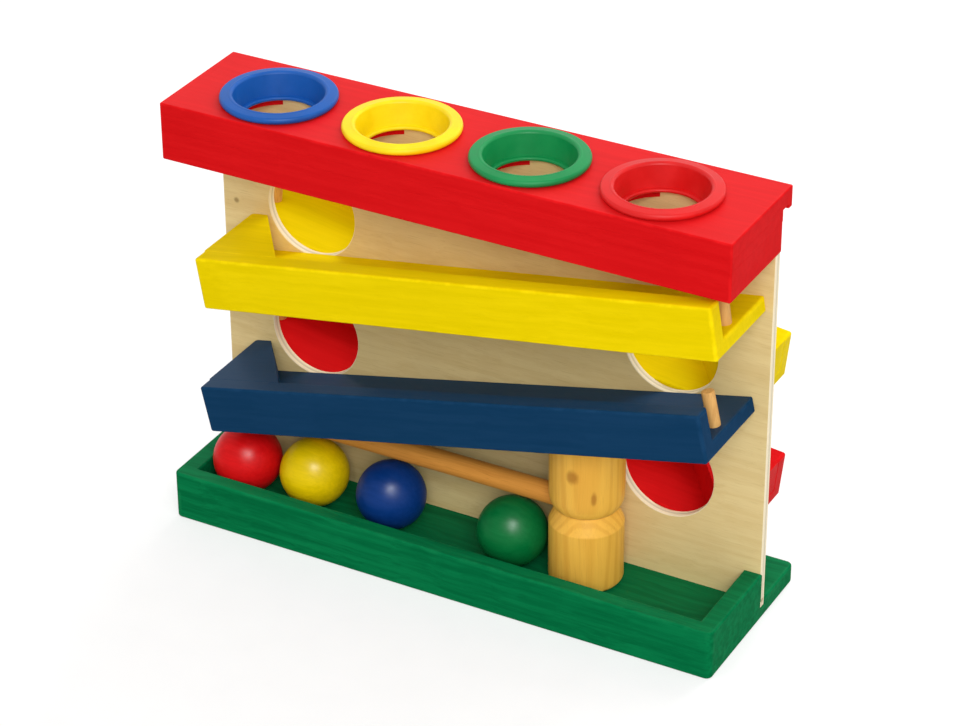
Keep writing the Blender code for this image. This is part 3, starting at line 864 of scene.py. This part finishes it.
@dataclass(frozen=True)
class BareWood(Finish):
    """Clear lacquered wood with fibres, year rings round a pith, and dark marks."""

    dark: Colour = (0.4, 0.2, 0.05)
    pith: Place = (0.0, 0.05, 0.0)
    rings: float = 0.4
    ring_size: float = 260.0
    mark: Colour = (0.36, 0.12, 0.01)
    marks: tuple[tuple[Place, Place, float], ...] = ()
    streaks: float = 0.35
    shine: float = 0.06

    def draw(self, graph: Graph, shader: bpy.types.Node) -> None:
        """Draw fibres, year rings and marks.

        Args:
            graph: The material's graph.
            shader: Its Principled BSDF.
        """
        fibre = self.fibres(graph, 16.0, 520.0)
        flat = graph.vector("SUBTRACT", self.place(graph), self.pith)
        flat = graph.vector("MULTIPLY", flat, (0.12, 1.0, 1.0))
        sway = graph.math("MULTIPLY", graph.noise(flat, 30.0, 2.0), 0.012)
        reach = graph.math("ADD", graph.vector("LENGTH", flat), sway)
        wave = graph.math("SINE", graph.math("MULTIPLY", reach, self.ring_size * math.tau))
        wood = graph.tint(fibre["Streak"], self.streaks, shade(self.colour, 1.06), shade(self.dark))
        wood = graph.tint(graph.span(wave, -0.2, 1.0), self.rings, wood, shade(self.dark))
        wood = graph.tint(fibre["Pore"], self.streaks, wood, shade(self.dark, 0.75))
        wood = graph.tint(fibre["Blotch"], 0.3, wood, shade(self.colour, 0.86))
        wood = graph.tint(self.wear(graph)["Wear"], 0.4, wood, shade(self.colour, 1.14, 0.01))
        where = graph.add("ShaderNodeTexCoord").outputs["Object"]
        for centre, stretch, size in self.marks:
            away = graph.vector("MULTIPLY", graph.vector("SUBTRACT", where, centre), stretch)
            ragged = graph.math("MULTIPLY", graph.noise(where, 260.0), 0.45 * size)
            far = graph.math("ADD", graph.vector("LENGTH", away), ragged)
            wood = graph.mix(graph.span(far, size * 1.5, size * 0.6, 0.0, 0.7), wood, shade(self.mark))
        rough = self.uneven(graph, fibre["Streak"], 0.06, 0.08)
        height = graph.math("ADD", graph.math("MULTIPLY", fibre["Streak"], 0.4), fibre["Pore"])
        graph.dress(shader, wood, rough, graph.bump(height, 0.3, invert=True), self.shine)


@dataclass(frozen=True)
class Plywood(Finish):
    """Plywood: a pale face veneer, and three layers on its cut edges, whose near white colour is the ply's
    pale edge with painted light added.
    """

    dark: Colour = (0.5, 0.36, 0.15)
    # Cut edge colour: the ply's own pale edge, lightened with painted light as on brightly lit hole walls.
    edge: Colour = (0.8, 0.7, 0.5)
    layer_start: float = 0.0
    layer_end: float = 0.006
    knots: tuple[tuple[Place, float], ...] = ()

    def draw(self, graph: Graph, shader: bpy.types.Node) -> None:
        """Draw veneer on the faces and layers on the edges, whose pale colour holds painted light.

        Args:
            graph: The material's graph.
            shader: Its Principled BSDF.
        """
        place = self.place(graph)
        fibre = self.fibres(graph, 7.0, 170.0)
        fine = self.fibres(graph, 26.0, 900.0)
        face = graph.tint(fibre["Streak"], 0.38, shade(self.colour, 1.05), shade(self.dark))
        face = graph.tint(fine["Pore"], 0.3, face, shade(self.dark, 0.8))
        face = graph.tint(fibre["Blotch"], 0.25, face, shade(self.colour, 0.88))
        across = graph.add("ShaderNodeSeparateXYZ", {0: place}).outputs[1]
        core = graph.math("COMPARE", graph.span(across, self.layer_start, self.layer_end), 0.5)
        core.node.inputs[2].default_value = 0.2
        # Near white cut edges: the ply's pale edge plus painted light, as on brightly lit hole walls.
        rim = graph.mix(core, shade(self.edge), shade(self.edge, 0.74))
        rim = graph.tint(fine["Streak"], 0.3, rim, shade(self.edge, 0.8))
        wood = graph.mix(self.wear(graph)["Side"], face, rim)
        for knot, size in self.knots:
            far = graph.vector("LENGTH", graph.vector("SUBTRACT", place, knot))
            wood = graph.mix(graph.span(far, size, 0.3 * size, 0.0, 0.8), wood, shade(self.dark, 0.5))
        rough = self.uneven(graph, fibre["Streak"], 0.05, 0.08)
        height = graph.math("ADD", graph.math("MULTIPLY", fine["Streak"], 0.5), fine["Pore"])
        graph.dress(shader, wood, rough, graph.bump(height, 0.25, invert=True), 0.1)


@dataclass(frozen=True)
class Lacquer(Finish):
    """Glossy coloured lacquer on a turned wooden ball."""

    def draw(self, graph: Graph, shader: bpy.types.Node) -> None:
        """Draw lacquer with faint fibres and a slightly uneven coat.

        Args:
            graph: The material's graph.
            shader: Its Principled BSDF.
        """
        place = self.place(graph)
        fibre = self.fibres(graph, 30.0, 420.0)
        coat = graph.mix(fibre["Streak"], shade(self.colour, 0.93), shade(self.colour, 1.06, 0.003))
        coat = graph.tint(fibre["Pore"], 0.3, coat, shade(self.colour, 0.75))
        coat = graph.tint(fibre["Blotch"], 0.25, coat, shade(self.colour, 0.85))
        smear = graph.noise(place, 130.0, 3.0)
        rough = graph.span(smear, 0.3, 0.7, self.roughness - 0.05, self.roughness + 0.06)
        pits = graph.math("MULTIPLY", fibre["Pore"], -0.5)
        height = graph.math("ADD", graph.noise(place, 420.0, 2.0), pits)
        graph.dress(shader, coat, rough, graph.bump(height, 0.12), 0.1)


@dataclass(frozen=True)
class Moulded(Finish):
    """Satin moulded plastic with flow marks and a fine texture."""

    def draw(self, graph: Graph, shader: bpy.types.Node) -> None:
        """Draw plastic with faint flow marks.

        Args:
            graph: The material's graph.
            shader: Its Principled BSDF.
        """
        place = self.place(graph)
        flow = graph.span(graph.noise(place, 55.0, 3.0), 0.3, 0.7)
        speck = graph.span(graph.noise(place, 900.0, 2.0), 0.55, 0.7)
        tone = graph.mix(flow, shade(self.colour, 0.94), shade(self.colour, 1.06, 0.004))
        tone = graph.tint(speck, 0.12, tone, shade(self.colour, 0.8))
        rough = self.uneven(graph, flow, 0.04, 0.05)
        height = graph.math("ADD", graph.noise(place, 1500.0, 2.0), flow)
        graph.dress(shader, tone, rough, graph.bump(height, 0.1, 0.00008), 0.3)


@dataclass(frozen=True)
class Steel(Finish):
    """Zinc plated steel with a cloudy surface."""

    def draw(self, graph: Graph, shader: bpy.types.Node) -> None:
        """Draw plated steel.

        Args:
            graph: The material's graph.
            shader: Its Principled BSDF.
        """
        cloud = graph.span(graph.noise(self.place(graph), 420.0, 4.0), 0.3, 0.7)
        tone = graph.mix(cloud, shade(self.colour, 0.8), shade(self.colour, 1.1))
        rough = self.uneven(graph, cloud, 0.08, 0.1)
        graph.dress(shader, tone, rough, graph.bump(cloud, 0.15, 0.00005), 0.5)
        shader.inputs["Metallic"].default_value = 1.0


RED = linear(212, 18, 22)
YELLOW = linear(234, 206, 0)
NAVY = linear(16, 56, 90)
GREEN = linear(2, 112, 64)
BEECH = linear(228, 178, 108)
BEECH_DARK = linear(176, 112, 52)


# Pieces


@dataclass(frozen=True)
class Base:
    """The base board and the tray's rim."""

    rounding: float = 1.4
    corner: float = 4.0
    wear: float = 1.4
    seat: float = 0.28
    groove_room: float = 0.3
    groove_depth: float = 5.5
    into_panel: float = 0.6
    paint: Finish = PaintedWood("green_paint", GREEN, 0.5, streaks=0.22, gloss=0.15)

    def build(self) -> None:
        """Make the board and one rim for the three rails, which are painted over as one."""
        low, high = box_of("base_board")
        panel_low, panel_high = box_of("panel")
        corner, rounding, wear = self.corner, self.rounding, self.wear
        groove = high[2] - self.groove_depth
        front, back = panel_low[1] - self.groove_room, panel_high[1] + self.groove_room
        x = (low[0], high[0])
        near = [corner, corner, SQUARE, SQUARE]
        board = [
            plank(x, (low[1], high[1]), (low[2], groove - SEAM), [corner] * 4, (rounding, SQUARE), wear),
            plank(x, (low[1], front), (groove, high[2]), near, (SQUARE, SQUARE), wear),
            plank(x, (back, high[1]), (groove, high[2]), near[::-1], (SQUARE, rounding), wear),
        ]
        make_piece("base", joined(board), self.paint.material(), ["base_board"])

        rails = ["tray_front_rail", "tray_left_rail", "tray_right_rail"]
        low, high = box_of(rails[0])
        radii = [corner, corner, SQUARE, SQUARE, 0.0, 0.0, SQUARE, SQUARE]
        outline = rounded_loop(rail_outline(rails, self.into_panel), radii, wear)
        rim = slab([outline], section(high[2] - low[2] + self.seat, SQUARE, rounding, wear))
        rim = rim.moved(Matrix.Translation((0.0, 0.0, low[2] - self.seat)))
        make_piece("tray_rim", rim, self.paint.material(), rails)


@dataclass(frozen=True)
class Track:
    """One sloping track: a floor and wall painted over as one, a deflector and a stop peg."""

    name: str
    side: Side
    wall_height: float
    colour: Colour
    slot: str
    tail: float = 0.0
    gloss: float = 0.0
    length: float = 353.0
    depth: float = 67.5
    floor: float = 10.0
    wall: float = 12.0
    narrow: float = 11.5
    wide: float = 53.0
    sink: float = 0.2
    panel_room: float = 0.1
    hole_from_low: float = 38.5
    hole_radius: float = 31.0
    sill_drop: float = 1.5
    rounding: float = 1.4
    end_rounding: float = 1.8
    slight: float = 0.3
    under: float = 0.1
    tip: float = 0.8
    wear: float = 1.2
    tip_wear: float = 0.8
    peg_radius: float = 4.0
    peg_edge: float = 0.7

    def run(self) -> tuple[Array, float]:
        """Return the middle of the track's floor line and its slope, from the two dowels that hold it."""
        low = middle_and_size(f"{self.name}_low_dowel")[0]
        high = middle_and_size(f"{self.name}_high_dowel")[0]
        return (low + high) / 2.0, math.atan2(high[2] - low[2], abs(high[0] - low[0]))

    def matrix(self) -> Matrix:
        """Return the track's frame: x up the slope from its low corner, y into the panel, z up."""
        middle, slope = self.run()
        low, high = box_of("panel")
        face = (low if self.side is Side.FRONT else high)[1]
        turn = Matrix.Rotation(self.side.value, 4, "Z") @ Matrix.Rotation(-slope, 4, "Y")
        offset = turn @ Vector((self.length / 2.0 + self.tail, 0.0, self.floor / 2.0))
        return Matrix.Translation(Vector((middle[0], face, middle[2])) - offset) @ turn

    def hole(self) -> Spot:
        """Return x and z of the panel's hole at the track's low end."""
        slope = self.run()[1]
        corner = self.matrix().translation
        away = self.hole_from_low + self.tail
        rise = away * math.tan(slope) + self.floor / math.cos(slope)
        x = corner.x + math.cos(self.side.value) * away
        return x, corner.z + rise - self.sill_drop + self.hole_radius

    def paint(self) -> bpy.types.Material:
        """Return the track's paint, with fibres that run down its slope."""
        slope = self.run()[1] * (1.0 if self.side is Side.FRONT else -1.0)
        finish = PaintedWood(
            f"{self.name}_paint", self.colour, 0.4, slope=slope, streaks=0.045, gloss=self.gloss
        )
        return finish.material()

    def build(self) -> None:
        """Make the track's pieces."""
        matrix, paint = self.matrix(), self.paint()
        inside = self.wall - self.depth
        corners = [
            (-self.depth, 0.0),
            (0.0, 0.0),
            (0.0, self.floor),
            (inside, self.floor),
            (inside, self.wall_height),
            (-self.depth, self.wall_height),
        ]
        radii = [self.rounding, self.slight, self.slight, 0.0, self.slight, self.rounding]
        rows = section(self.length + self.tail, self.end_rounding, self.end_rounding, self.wear)
        lengthwise = Matrix(((0, 0, 1, 0), (1, 0, 0, 0), (0, 1, 0, 0), (0, 0, 0, 1)))
        body = slab([rounded_loop(corners, radii, self.wear)], rows).moved(matrix @ lengthwise)
        nodes = [f"{self.name}_floor", f"{self.name}_wall"]
        make_piece(f"{self.name}_channel", body, paint, nodes)

        wide, narrow = self.wide + self.tail, self.narrow + self.tail
        near, far = inside - self.sink, -self.panel_room
        wedge = [(0.0, near), (wide, near), (narrow, far), (0.0, far)]
        radii = [self.slight, self.slight, self.tip, self.end_rounding]
        rows = section(self.wall_height - self.floor + self.sink, self.under, self.slight, self.wear)
        lift = Matrix.Translation((0.0, 0.0, self.floor - self.sink))
        block = slab([rounded_loop(wedge, radii, self.tip_wear)], rows).moved(matrix @ lift)
        make_piece(f"{self.name}_end_block", block, paint, [f"{self.name}_deflector"])
        self.build_peg(matrix)

    def build_peg(self, matrix: Matrix) -> None:
        """Make the stop peg, a dowel with a broken edge.

        Args:
            matrix: The track's frame.
        """
        node = f"{self.name}_stop_peg"
        middle = matrix.inverted() @ Vector(middle_and_size(node)[0].tolist())
        half, edge = self.wall_height / 2.0, self.peg_edge
        top = arc_points((self.peg_radius - edge, half - edge), edge, 90.0, 0.0, 4)
        profile = np.concatenate([[[0.0, half]], top, top[::-1] * (1.0, -1.0), [[0.0, -half]]])
        wood = BareWood("peg_wood", BEECH, 0.55, Grain.ALONG_Z, dark=BEECH_DARK, rings=0.2)
        peg = lathe(profile, 40).moved(matrix @ Matrix.Translation(middle))
        make_piece(f"{self.name}_peg", peg, wood.material(), [node])


@dataclass(frozen=True)
class Panel:
    """The plywood panel with its four holes."""

    tracks: tuple[Track, ...]
    rounding: float = 0.6
    corner: float = 0.4
    wear: float = 0.7
    shoulder_in: float = 11.8
    shoulder_room: float = 0.3

    def build(self) -> None:
        """Make the panel, an upright slab with shoulders under the top's end blocks."""
        low, high = box_of("panel")
        shoulder = box_of("top_left_end")[0][2] - self.shoulder_room
        inner = high[0] - self.shoulder_in
        corners = [
            (low[0], low[2]),
            (high[0], low[2]),
            (high[0], shoulder),
            (inner, shoulder),
            (inner, high[2]),
            (-inner, high[2]),
            (-inner, shoulder),
            (low[0], shoulder),
        ]
        corner = self.corner
        radii = [corner, corner, corner, 0.0, corner, corner, 0.0, corner]
        loops = [rounded_loop(corners, radii, self.wear)]
        loops += [hole_loop(track.hole(), track.hole_radius) for track in self.tracks]
        board = slab(loops, section(high[1] - low[1], self.rounding, self.rounding, self.wear))
        upright = Matrix(((1, 0, 0, 0), (0, 0, -1, high[1]), (0, 1, 0, 0), (0, 0, 0, 1)))
        wood = Plywood(
            "birch_ply",
            linear(232, 208, 150),
            0.55,
            dark=linear(208, 172, 108),
            # Near white cut edges: the ply's pale edge plus painted light, as on brightly lit hole walls.
            edge=linear(246, 232, 200),
            layer_start=low[1] * MM,
            layer_end=high[1] * MM,
            knots=(((-0.18, low[1] * MM, 0.199), 0.0026), ((high[0] * MM, 0.0145, 0.0125), 0.0022)),
        )
        make_piece("ply_panel", board.moved(upright), wood.material(), ["panel"])


@dataclass(frozen=True)
class Top:
    """The red top: a board with ring holes, and a skirt for its front rail and end blocks."""

    rounding: float = 1.1
    end_rounding: float = 0.8
    wear: float = 1.4
    lip_height: float = 13.6
    lip_width: float = 5.2
    lip_drop: float = 2.9
    lip_rounding: float = 0.6
    seat: float = 0.28
    hole_radius: float = 29.5
    rings: tuple[str, ...] = ("ring_blue", "ring_yellow", "ring_green", "ring_red")
    paint: Finish = PaintedWood("red_paint", RED, 0.5, streaks=0.04, gloss=0.4)

    def build(self) -> None:
        """Make the board, which is thinner behind the panel, with the lip at its back, and the skirt."""
        low, high = box_of("top_board")[0], box_of("top_back_strip")[1]
        holes = [hole_loop(tuple(middle_and_size(ring)[0][:2]), self.hole_radius) for ring in self.rings]
        behind = box_of("panel")[1][1] - SEAM
        lip_foot = high[2] - self.lip_height
        thin = lip_foot + self.lip_drop
        lip_front = high[1] - self.lip_width
        large, small = self.rounding, self.lip_rounding
        x = (low[0], high[0])
        near = [large, large, SQUARE, SQUARE]
        board = [
            plank(x, (low[1], high[1]), (thin, high[2]), [large] * 4, (SQUARE, large), self.wear, holes),
            plank(x, (low[1], behind), (low[2], thin - SEAM), near, (SQUARE, SQUARE), small, holes),
            plank(x, (lip_front, high[1]), (lip_foot, thin - SEAM), near[::-1], (small, SQUARE), small),
        ]
        nodes = ["top_board", "top_back_strip", "top_back_lip"]
        make_piece("top_face", joined(board), self.paint.material(), nodes)

        rails = ["top_front_rail", "top_left_end", "top_right_end"]
        low, high = box_of(rails[0])
        end = self.end_rounding
        radii = [large, large, end, end, 0.0, 0.0, end, end]
        outline = rounded_loop(rail_outline(rails), radii, self.wear)
        skirt = slab([outline], section(high[2] - low[2] + self.seat, large, SQUARE, self.wear))
        skirt = skirt.moved(Matrix.Translation((0.0, 0.0, low[2])))
        make_piece("top_skirt", skirt, self.paint.material(), rails)


@dataclass(frozen=True)
class Ring:
    """One plastic ring with a rounded flange and a throat that narrows to a lip."""

    node: str
    colour: Colour
    lip: float = 22.35
    throat: float = 25.0
    collar: float = 29.2
    flange: float = 36.2
    rise: float = 5.2
    depth: float = 12.0
    lip_height: float = 2.4
    mouth_wall: float = 1.5
    brim: float = 2.4
    gap: float = 0.05

    def build(self) -> None:
        """Make the ring."""
        middle = middle_and_size(self.node)[0]
        face = box_of("top_board")[1][2]
        mouth = self.collar - self.mouth_wall
        bead = (self.flange - mouth) / 4.0
        crown = arc_points((mouth + bead, self.rise - bead), bead, 180.0, 60.0, 14)
        brim = arc_points((self.flange - self.brim, self.brim + self.gap), self.brim, 60.0, -90.0, 12)
        half = self.lip_height / 2.0
        lip = arc_points((self.lip + half, half - self.depth), half, 270.0, 90.0, 12)
        collar = np.array([[self.collar, self.gap], [self.collar, -self.depth]])
        throat = np.array([[self.throat, self.lip_height - self.depth]])
        profile = np.concatenate([crown, brim, collar, lip, throat])
        plastic = Moulded(f"{self.node}_plastic", self.colour, 0.42)
        shape = lathe(profile, 128, closed=True).moved(Matrix.Translation((middle[0], middle[1], face)))
        make_piece(f"{self.node}_grommet", shape, plastic.material(), [self.node])


@dataclass(frozen=True)
class Ball:
    """One lacquered wooden ball."""

    node: str
    colour: Colour

    def build(self) -> None:
        """Make the ball: r = R cos a, z = R sin a."""
        middle, size = middle_and_size(self.node)
        profile = arc_points((0.0, 0.0), size[2] / 2.0, 90.0, -90.0, 64)
        profile[[0, -1], 0] = 0.0
        shape = lathe(profile, 96).moved(Matrix.Translation(middle.tolist()))
        lacquer = Lacquer(f"{self.node}_lacquer", self.colour, 0.36)
        make_piece(f"{self.node}_turned", shape, lacquer.material(), [self.node], self.node)


@dataclass(frozen=True)
class Mallet:
    """The mallet: a turned head with a groove, rounded above it and tapered below it, and a handle.

    A mark is a dark spot in the head's wood: its place from the head's middle, its stretch and its size.
    """

    groove: float = 22.0
    groove_depth: float = 5.0
    flank: float = 24.0
    flank_room: float = 0.6
    belt: float = 0.6
    edge: float = 3.0
    handle_edge: float = 2.5
    pith: Spot = (-30.0, 50.0)
    marks: tuple[tuple[Place, Place, float], ...] = (
        ((1.6, -23.4, 32.0), (1.0, 0.3, 0.8), 4.2),
        ((14.1, -18.8, 17.5), (1.6, 0.3, 0.5), 2.6),
    )

    def build(self) -> None:
        """Make the head and the handle."""
        self.build_head()
        self.build_handle()

    def head_wood(self, middle: Array) -> bpy.types.Material:
        """Return the head's wood.

        Args:
            middle: The head's middle.

        Returns:
            The material.
        """
        marks = tuple((tuple((middle + spot) * MM), stretch, size * MM) for spot, stretch, size in self.marks)
        finish = BareWood(
            "amber_wood",
            linear(236, 182, 74),
            0.34,
            Grain.ALONG_Z,
            streaks=0.2,
            shine=0.15,
            dark=linear(216, 146, 46),
            pith=(0.0, (middle[0] + self.pith[0]) * MM, (middle[1] + self.pith[1]) * MM),
            rings=0.38,
            marks=marks,
        )
        return finish.material()

    def build_head(self) -> None:
        """Make the head: a quarter ellipse into the groove from above, a straight flank from below."""
        middle, size = middle_and_size("mallet_head")
        radius, half, lip = size[1] / 2.0, size[2] / 2.0, self.groove / 2.0
        rim = arc_points((radius - self.edge, half - self.edge), self.edge, 90.0, 0.0, 10)
        quarter = arc_points((0.0, 0.0), 1.0, 0.0, 90.0, 16)
        bulge = quarter * (self.groove_depth, -lip) + (radius - self.groove_depth, lip)
        ease = arc_points((radius - self.edge, lip + self.flank_room), self.edge, 0.0, -self.flank, 8)
        upper = np.concatenate([[[0.0, half]], rim, bulge])
        lower = np.concatenate([[[0.0, half]], rim, [[radius, half * self.belt]], ease])
        profile = np.concatenate([upper, lower[::-1] * (1.0, -1.0)])
        head = lathe(profile, 112).moved(Matrix.Translation(middle.tolist()))
        make_piece("mallet_block", head, self.head_wood(middle), ["mallet_head"], "mallet")

    def build_handle(self) -> None:
        """Make the handle, a level rod with a rounded end."""
        middle, size = middle_and_size("mallet_handle")
        thick, reach, edge = size[2] / 2.0, size[0] / 2.0, self.handle_edge
        tip = arc_points((thick - edge, reach - edge), edge, 90.0, 0.0, 8)
        profile = np.concatenate([[[0.0, reach]], tip, [[thick, 0.0], [thick, -reach], [0.0, -reach]]])
        level = Matrix.Translation(middle.tolist()) @ Matrix.Rotation(-math.pi / 2.0, 4, "Y")
        wood = BareWood("handle_wood", linear(214, 146, 64), 0.45, dark=linear(180, 108, 38), rings=0.22)
        rod = lathe(profile, 56).moved(level)
        make_piece("mallet_rod", rod, wood.material(), ["mallet_handle"], "mallet")


@dataclass(frozen=True)
class Screw:
    """A countersunk screw with a cross recess, seen under the base board."""

    node: str
    shank: float = 1.8
    head: float = 3.5
    head_height: float = 2.4
    head_edge: float = 0.25
    point: float = 3.6
    arm: float = 2.1
    arm_half: float = 0.5
    arm_ease: float = 0.15
    end_ease: float = 0.3
    recess: float = 1.3
    rows: int = 18

    def build(self) -> None:
        """Make the screw; the recess lifts its face where |x| or |y| is under the arm's half width."""
        middle, size = middle_and_size(self.node)
        foot, tip = middle[2] - size[2] / 2.0, middle[2] + size[2] / 2.0
        body = [
            [0.0, tip],
            [self.shank, tip - self.point],
            [self.shank, foot + self.head_height],
            [self.head, foot + self.head_edge],
        ]
        across = np.linspace(self.head - self.head_edge, 0.0, self.rows)
        face = np.stack([across, np.full(self.rows, foot)], axis=1)
        shape = lathe(np.concatenate([body, face]), 64)
        x, y, z = np.abs(shape.points[:, 0]), np.abs(shape.points[:, 1]), shape.points[:, 2]
        beside = np.clip((self.arm_half - np.minimum(x, y)) / self.arm_ease, 0.0, 1.0)
        along = np.clip((self.arm - np.maximum(x, y)) / self.end_ease, 0.0, 1.0)
        shape.points[:, 2] = z + self.recess * beside * along * (z < foot + SEAM)
        shape = shape.moved(Matrix.Translation((middle[0], middle[1], 0.0)))
        steel = Steel("zinc_steel", linear(205, 206, 202), 0.34)
        make_piece(f"{self.node}_head", shape, steel.material(), [self.node])


def dress_dowels() -> None:
    """Give the hidden dowels, which stay as they are, a wood of their own."""
    wood = BareWood("dowel_wood", BEECH, 0.6, dark=BEECH_DARK, rings=0.2).material()
    for name, node in frame["nodes"].items():
        if name.endswith("_dowel"):
            for place in node.material_slots:
                place.material = wood


# Studio


@dataclass(frozen=True)
class Lamp:
    """A square soft lamp: where it stands and how wide it is in metres, its power in watts, and its light."""

    name: str
    place: Place
    size: float
    power: float
    glow: Glow = Glow.DIFFUSE
    target: Place = (0.0, 0.0, 0.14)

    def build(self) -> bpy.types.Object:
        """Return the lamp, made so that it points at the toy."""
        light = bpy.data.lights.new(self.name, "AREA")
        light.size = self.size
        light.energy = self.power
        lamp = bpy.data.objects.new(self.name, light)
        lamp.visible_diffuse, lamp.visible_glossy = self.glow.value
        lamp.location = self.place
        lamp.rotation_mode = "QUATERNION"
        lamp.rotation_quaternion = (Vector(self.target) - Vector(self.place)).to_track_quat("-Z", "Y")
        bpy.context.scene.collection.objects.link(lamp)
        return lamp


@dataclass(frozen=True)
class Studio:
    """A pale floor, soft lamps and a camera at the photograph's angle."""

    eye: Place = (0.8340, -1.5134, 1.1570)
    azimuth: float = 28.75
    elevation: float = 30.58
    roll: float = -0.25
    lens: float = 121.4
    sensor: float = 36.0
    floor_reach: float = 6.0
    floor_glow: float = 0.52
    world_light: float = 0.6
    lamps: tuple[Lamp, ...] = (
        Lamp("front", (1.43, -2.28, 1.94), 1.5, 58.0, Glow.BOTH),
        Lamp("gleam", (0.8, -1.47, 2.02), 1.0, 180.0, Glow.MIRRORED),
        Lamp("key", (-0.6, -0.7, 2.2), 1.0, 5.5),
        Lamp("back", (0.2, 1.7, 1.35), 1.4, 29.0),
        Lamp("side", (2.2, -0.6, 0.9), 1.4, 5.0),
    )

    def build(self) -> None:
        """Make the floor, the lights and the camera; a lamp that is only mirrored shows on lacquer alone."""
        self.floor()
        self.world()
        for lamp in self.lamps:
            made = lamp.build()
            if lamp.glow is Glow.MIRRORED:
                made.light_linking.receiver_collection = self.lacquered()
        self.camera()
        bpy.context.scene.view_settings.view_transform = "Standard"

    def floor(self) -> None:
        """Make a pale floor that looks white where it isn't shaded."""
        mesh = bpy.data.meshes.new("floor")
        far = self.floor_reach
        corners = [(-far, -far, 0), (far, -far, 0), (far, far, 0), (-far, far, 0)]
        mesh.from_pydata(corners, [], [(0, 1, 2, 3)])
        material = bpy.data.materials.new("floor_paper")
        material.use_nodes = True
        graph = Graph(material.node_tree)
        shader = material.node_tree.nodes["Principled BSDF"]
        paper = graph.noise(graph.add("ShaderNodeTexCoord").outputs["Object"], 40.0, 3.0)
        tone = graph.mix(paper, (0.46, 0.46, 0.46, 1.0), (0.5, 0.5, 0.5, 1.0))
        graph.tree.links.new(tone, shader.inputs["Base Color"])
        shader.inputs["Roughness"].default_value = 0.9
        shader.inputs["Specular IOR Level"].default_value = 0.1
        shader.inputs["Emission Color"].default_value = (1.0, 1.0, 1.0, 1.0)
        glow = graph.math("MULTIPLY", self.seen(graph), self.floor_glow)
        graph.tree.links.new(glow, shader.inputs["Emission Strength"])
        mesh.materials.append(material)
        floor = bpy.data.objects.new("floor", mesh)
        bpy.context.scene.collection.objects.link(floor)

    def world(self) -> None:
        """Make a white surround that is dimmer as a light than it looks."""
        world = bpy.data.worlds.new("surround")
        bpy.context.scene.world = world
        world.use_nodes = True
        graph = Graph(world.node_tree)
        background = world.node_tree.nodes["Background"]
        background.inputs["Color"].default_value = (1.0, 1.0, 1.0, 1.0)
        strength = graph.span(self.seen(graph), 0.0, 1.0, self.world_light, 1.0)
        graph.tree.links.new(strength, background.inputs["Strength"])

    def seen(self, graph: Graph) -> Socket:
        """Add a value that is 1 where a surface is seen, mirrored or seen through, and otherwise 0.

        Args:
            graph: Graph of a material or world.

        Returns:
            The value's socket.
        """
        path = graph.add("ShaderNodeLightPath").outputs
        through = graph.math("MAXIMUM", path["Is Glossy Ray"], path["Is Transmission Ray"])
        return graph.math("MAXIMUM", path["Is Camera Ray"], through)

    def lacquered(self) -> bpy.types.Collection:
        """Return a collection of the balls and the mallet's head, which have the glossiest lacquer."""
        group = bpy.data.collections.new("lacquered")
        for piece in bpy.context.scene.collection.objects:
            if piece.name.endswith(("_turned", "mallet_block")):
                group.objects.link(piece)
        return group

    def camera(self) -> None:
        """Add the camera that was fitted to the photograph's edges."""
        data = bpy.data.cameras.new("camera")
        data.lens = self.lens
        data.sensor_width = self.sensor
        data.clip_start, data.clip_end = 0.05, 40.0
        camera = bpy.data.objects.new("camera", data)
        around, up = math.radians(self.azimuth), math.radians(self.elevation)
        back = Vector((math.sin(around) * math.cos(up), -math.cos(around) * math.cos(up), math.sin(up)))
        roll = Matrix.Rotation(math.radians(self.roll), 4, "Z")
        turn = (-back).to_track_quat("-Z", "Y").to_matrix().to_4x4() @ roll
        camera.matrix_world = Matrix.Translation(self.eye) @ turn
        bpy.context.scene.collection.objects.link(camera)
        bpy.context.scene.camera = camera


def main() -> None:
    """Build every piece and the studio."""
    logging.basicConfig(level=logging.INFO)
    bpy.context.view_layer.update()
    tracks = (
        Track("front_yellow", Side.FRONT, 34.4, YELLOW, "yellow_paint"),
        Track("front_blue", Side.FRONT, 31.6, NAVY, "navy_paint", gloss=0.3),
        Track("rear_yellow", Side.REAR, 31.6, YELLOW, "yellow_paint", 5.0),
        Track("rear_red", Side.REAR, 31.6, RED, "red_paint", 5.0),
    )
    rings = (
        Ring("ring_blue", linear(4, 80, 160)),
        Ring("ring_yellow", linear(242, 210, 0)),
        Ring("ring_green", linear(2, 132, 68)),
        Ring("ring_red", linear(208, 18, 18)),
    )
    balls = (
        Ball("ball_red", linear(216, 12, 16)),
        Ball("ball_yellow", linear(234, 200, 0)),
        Ball("ball_blue", linear(4, 52, 120)),
        Ball("ball_green", linear(0, 108, 52)),
    )
    screws = [f"front_rail_screw_{number}" for number in (1, 2, 3)] + ["left_rail_screw", "right_rail_screw"]
    parts = [Base(), *tracks, Panel(tracks), Top(), *rings, *balls, Mallet(), *map(Screw, screws)]
    for part in parts:
        part.build()
    dress_dowels()
    Studio().build()


if __name__ == "__main__":
    main()
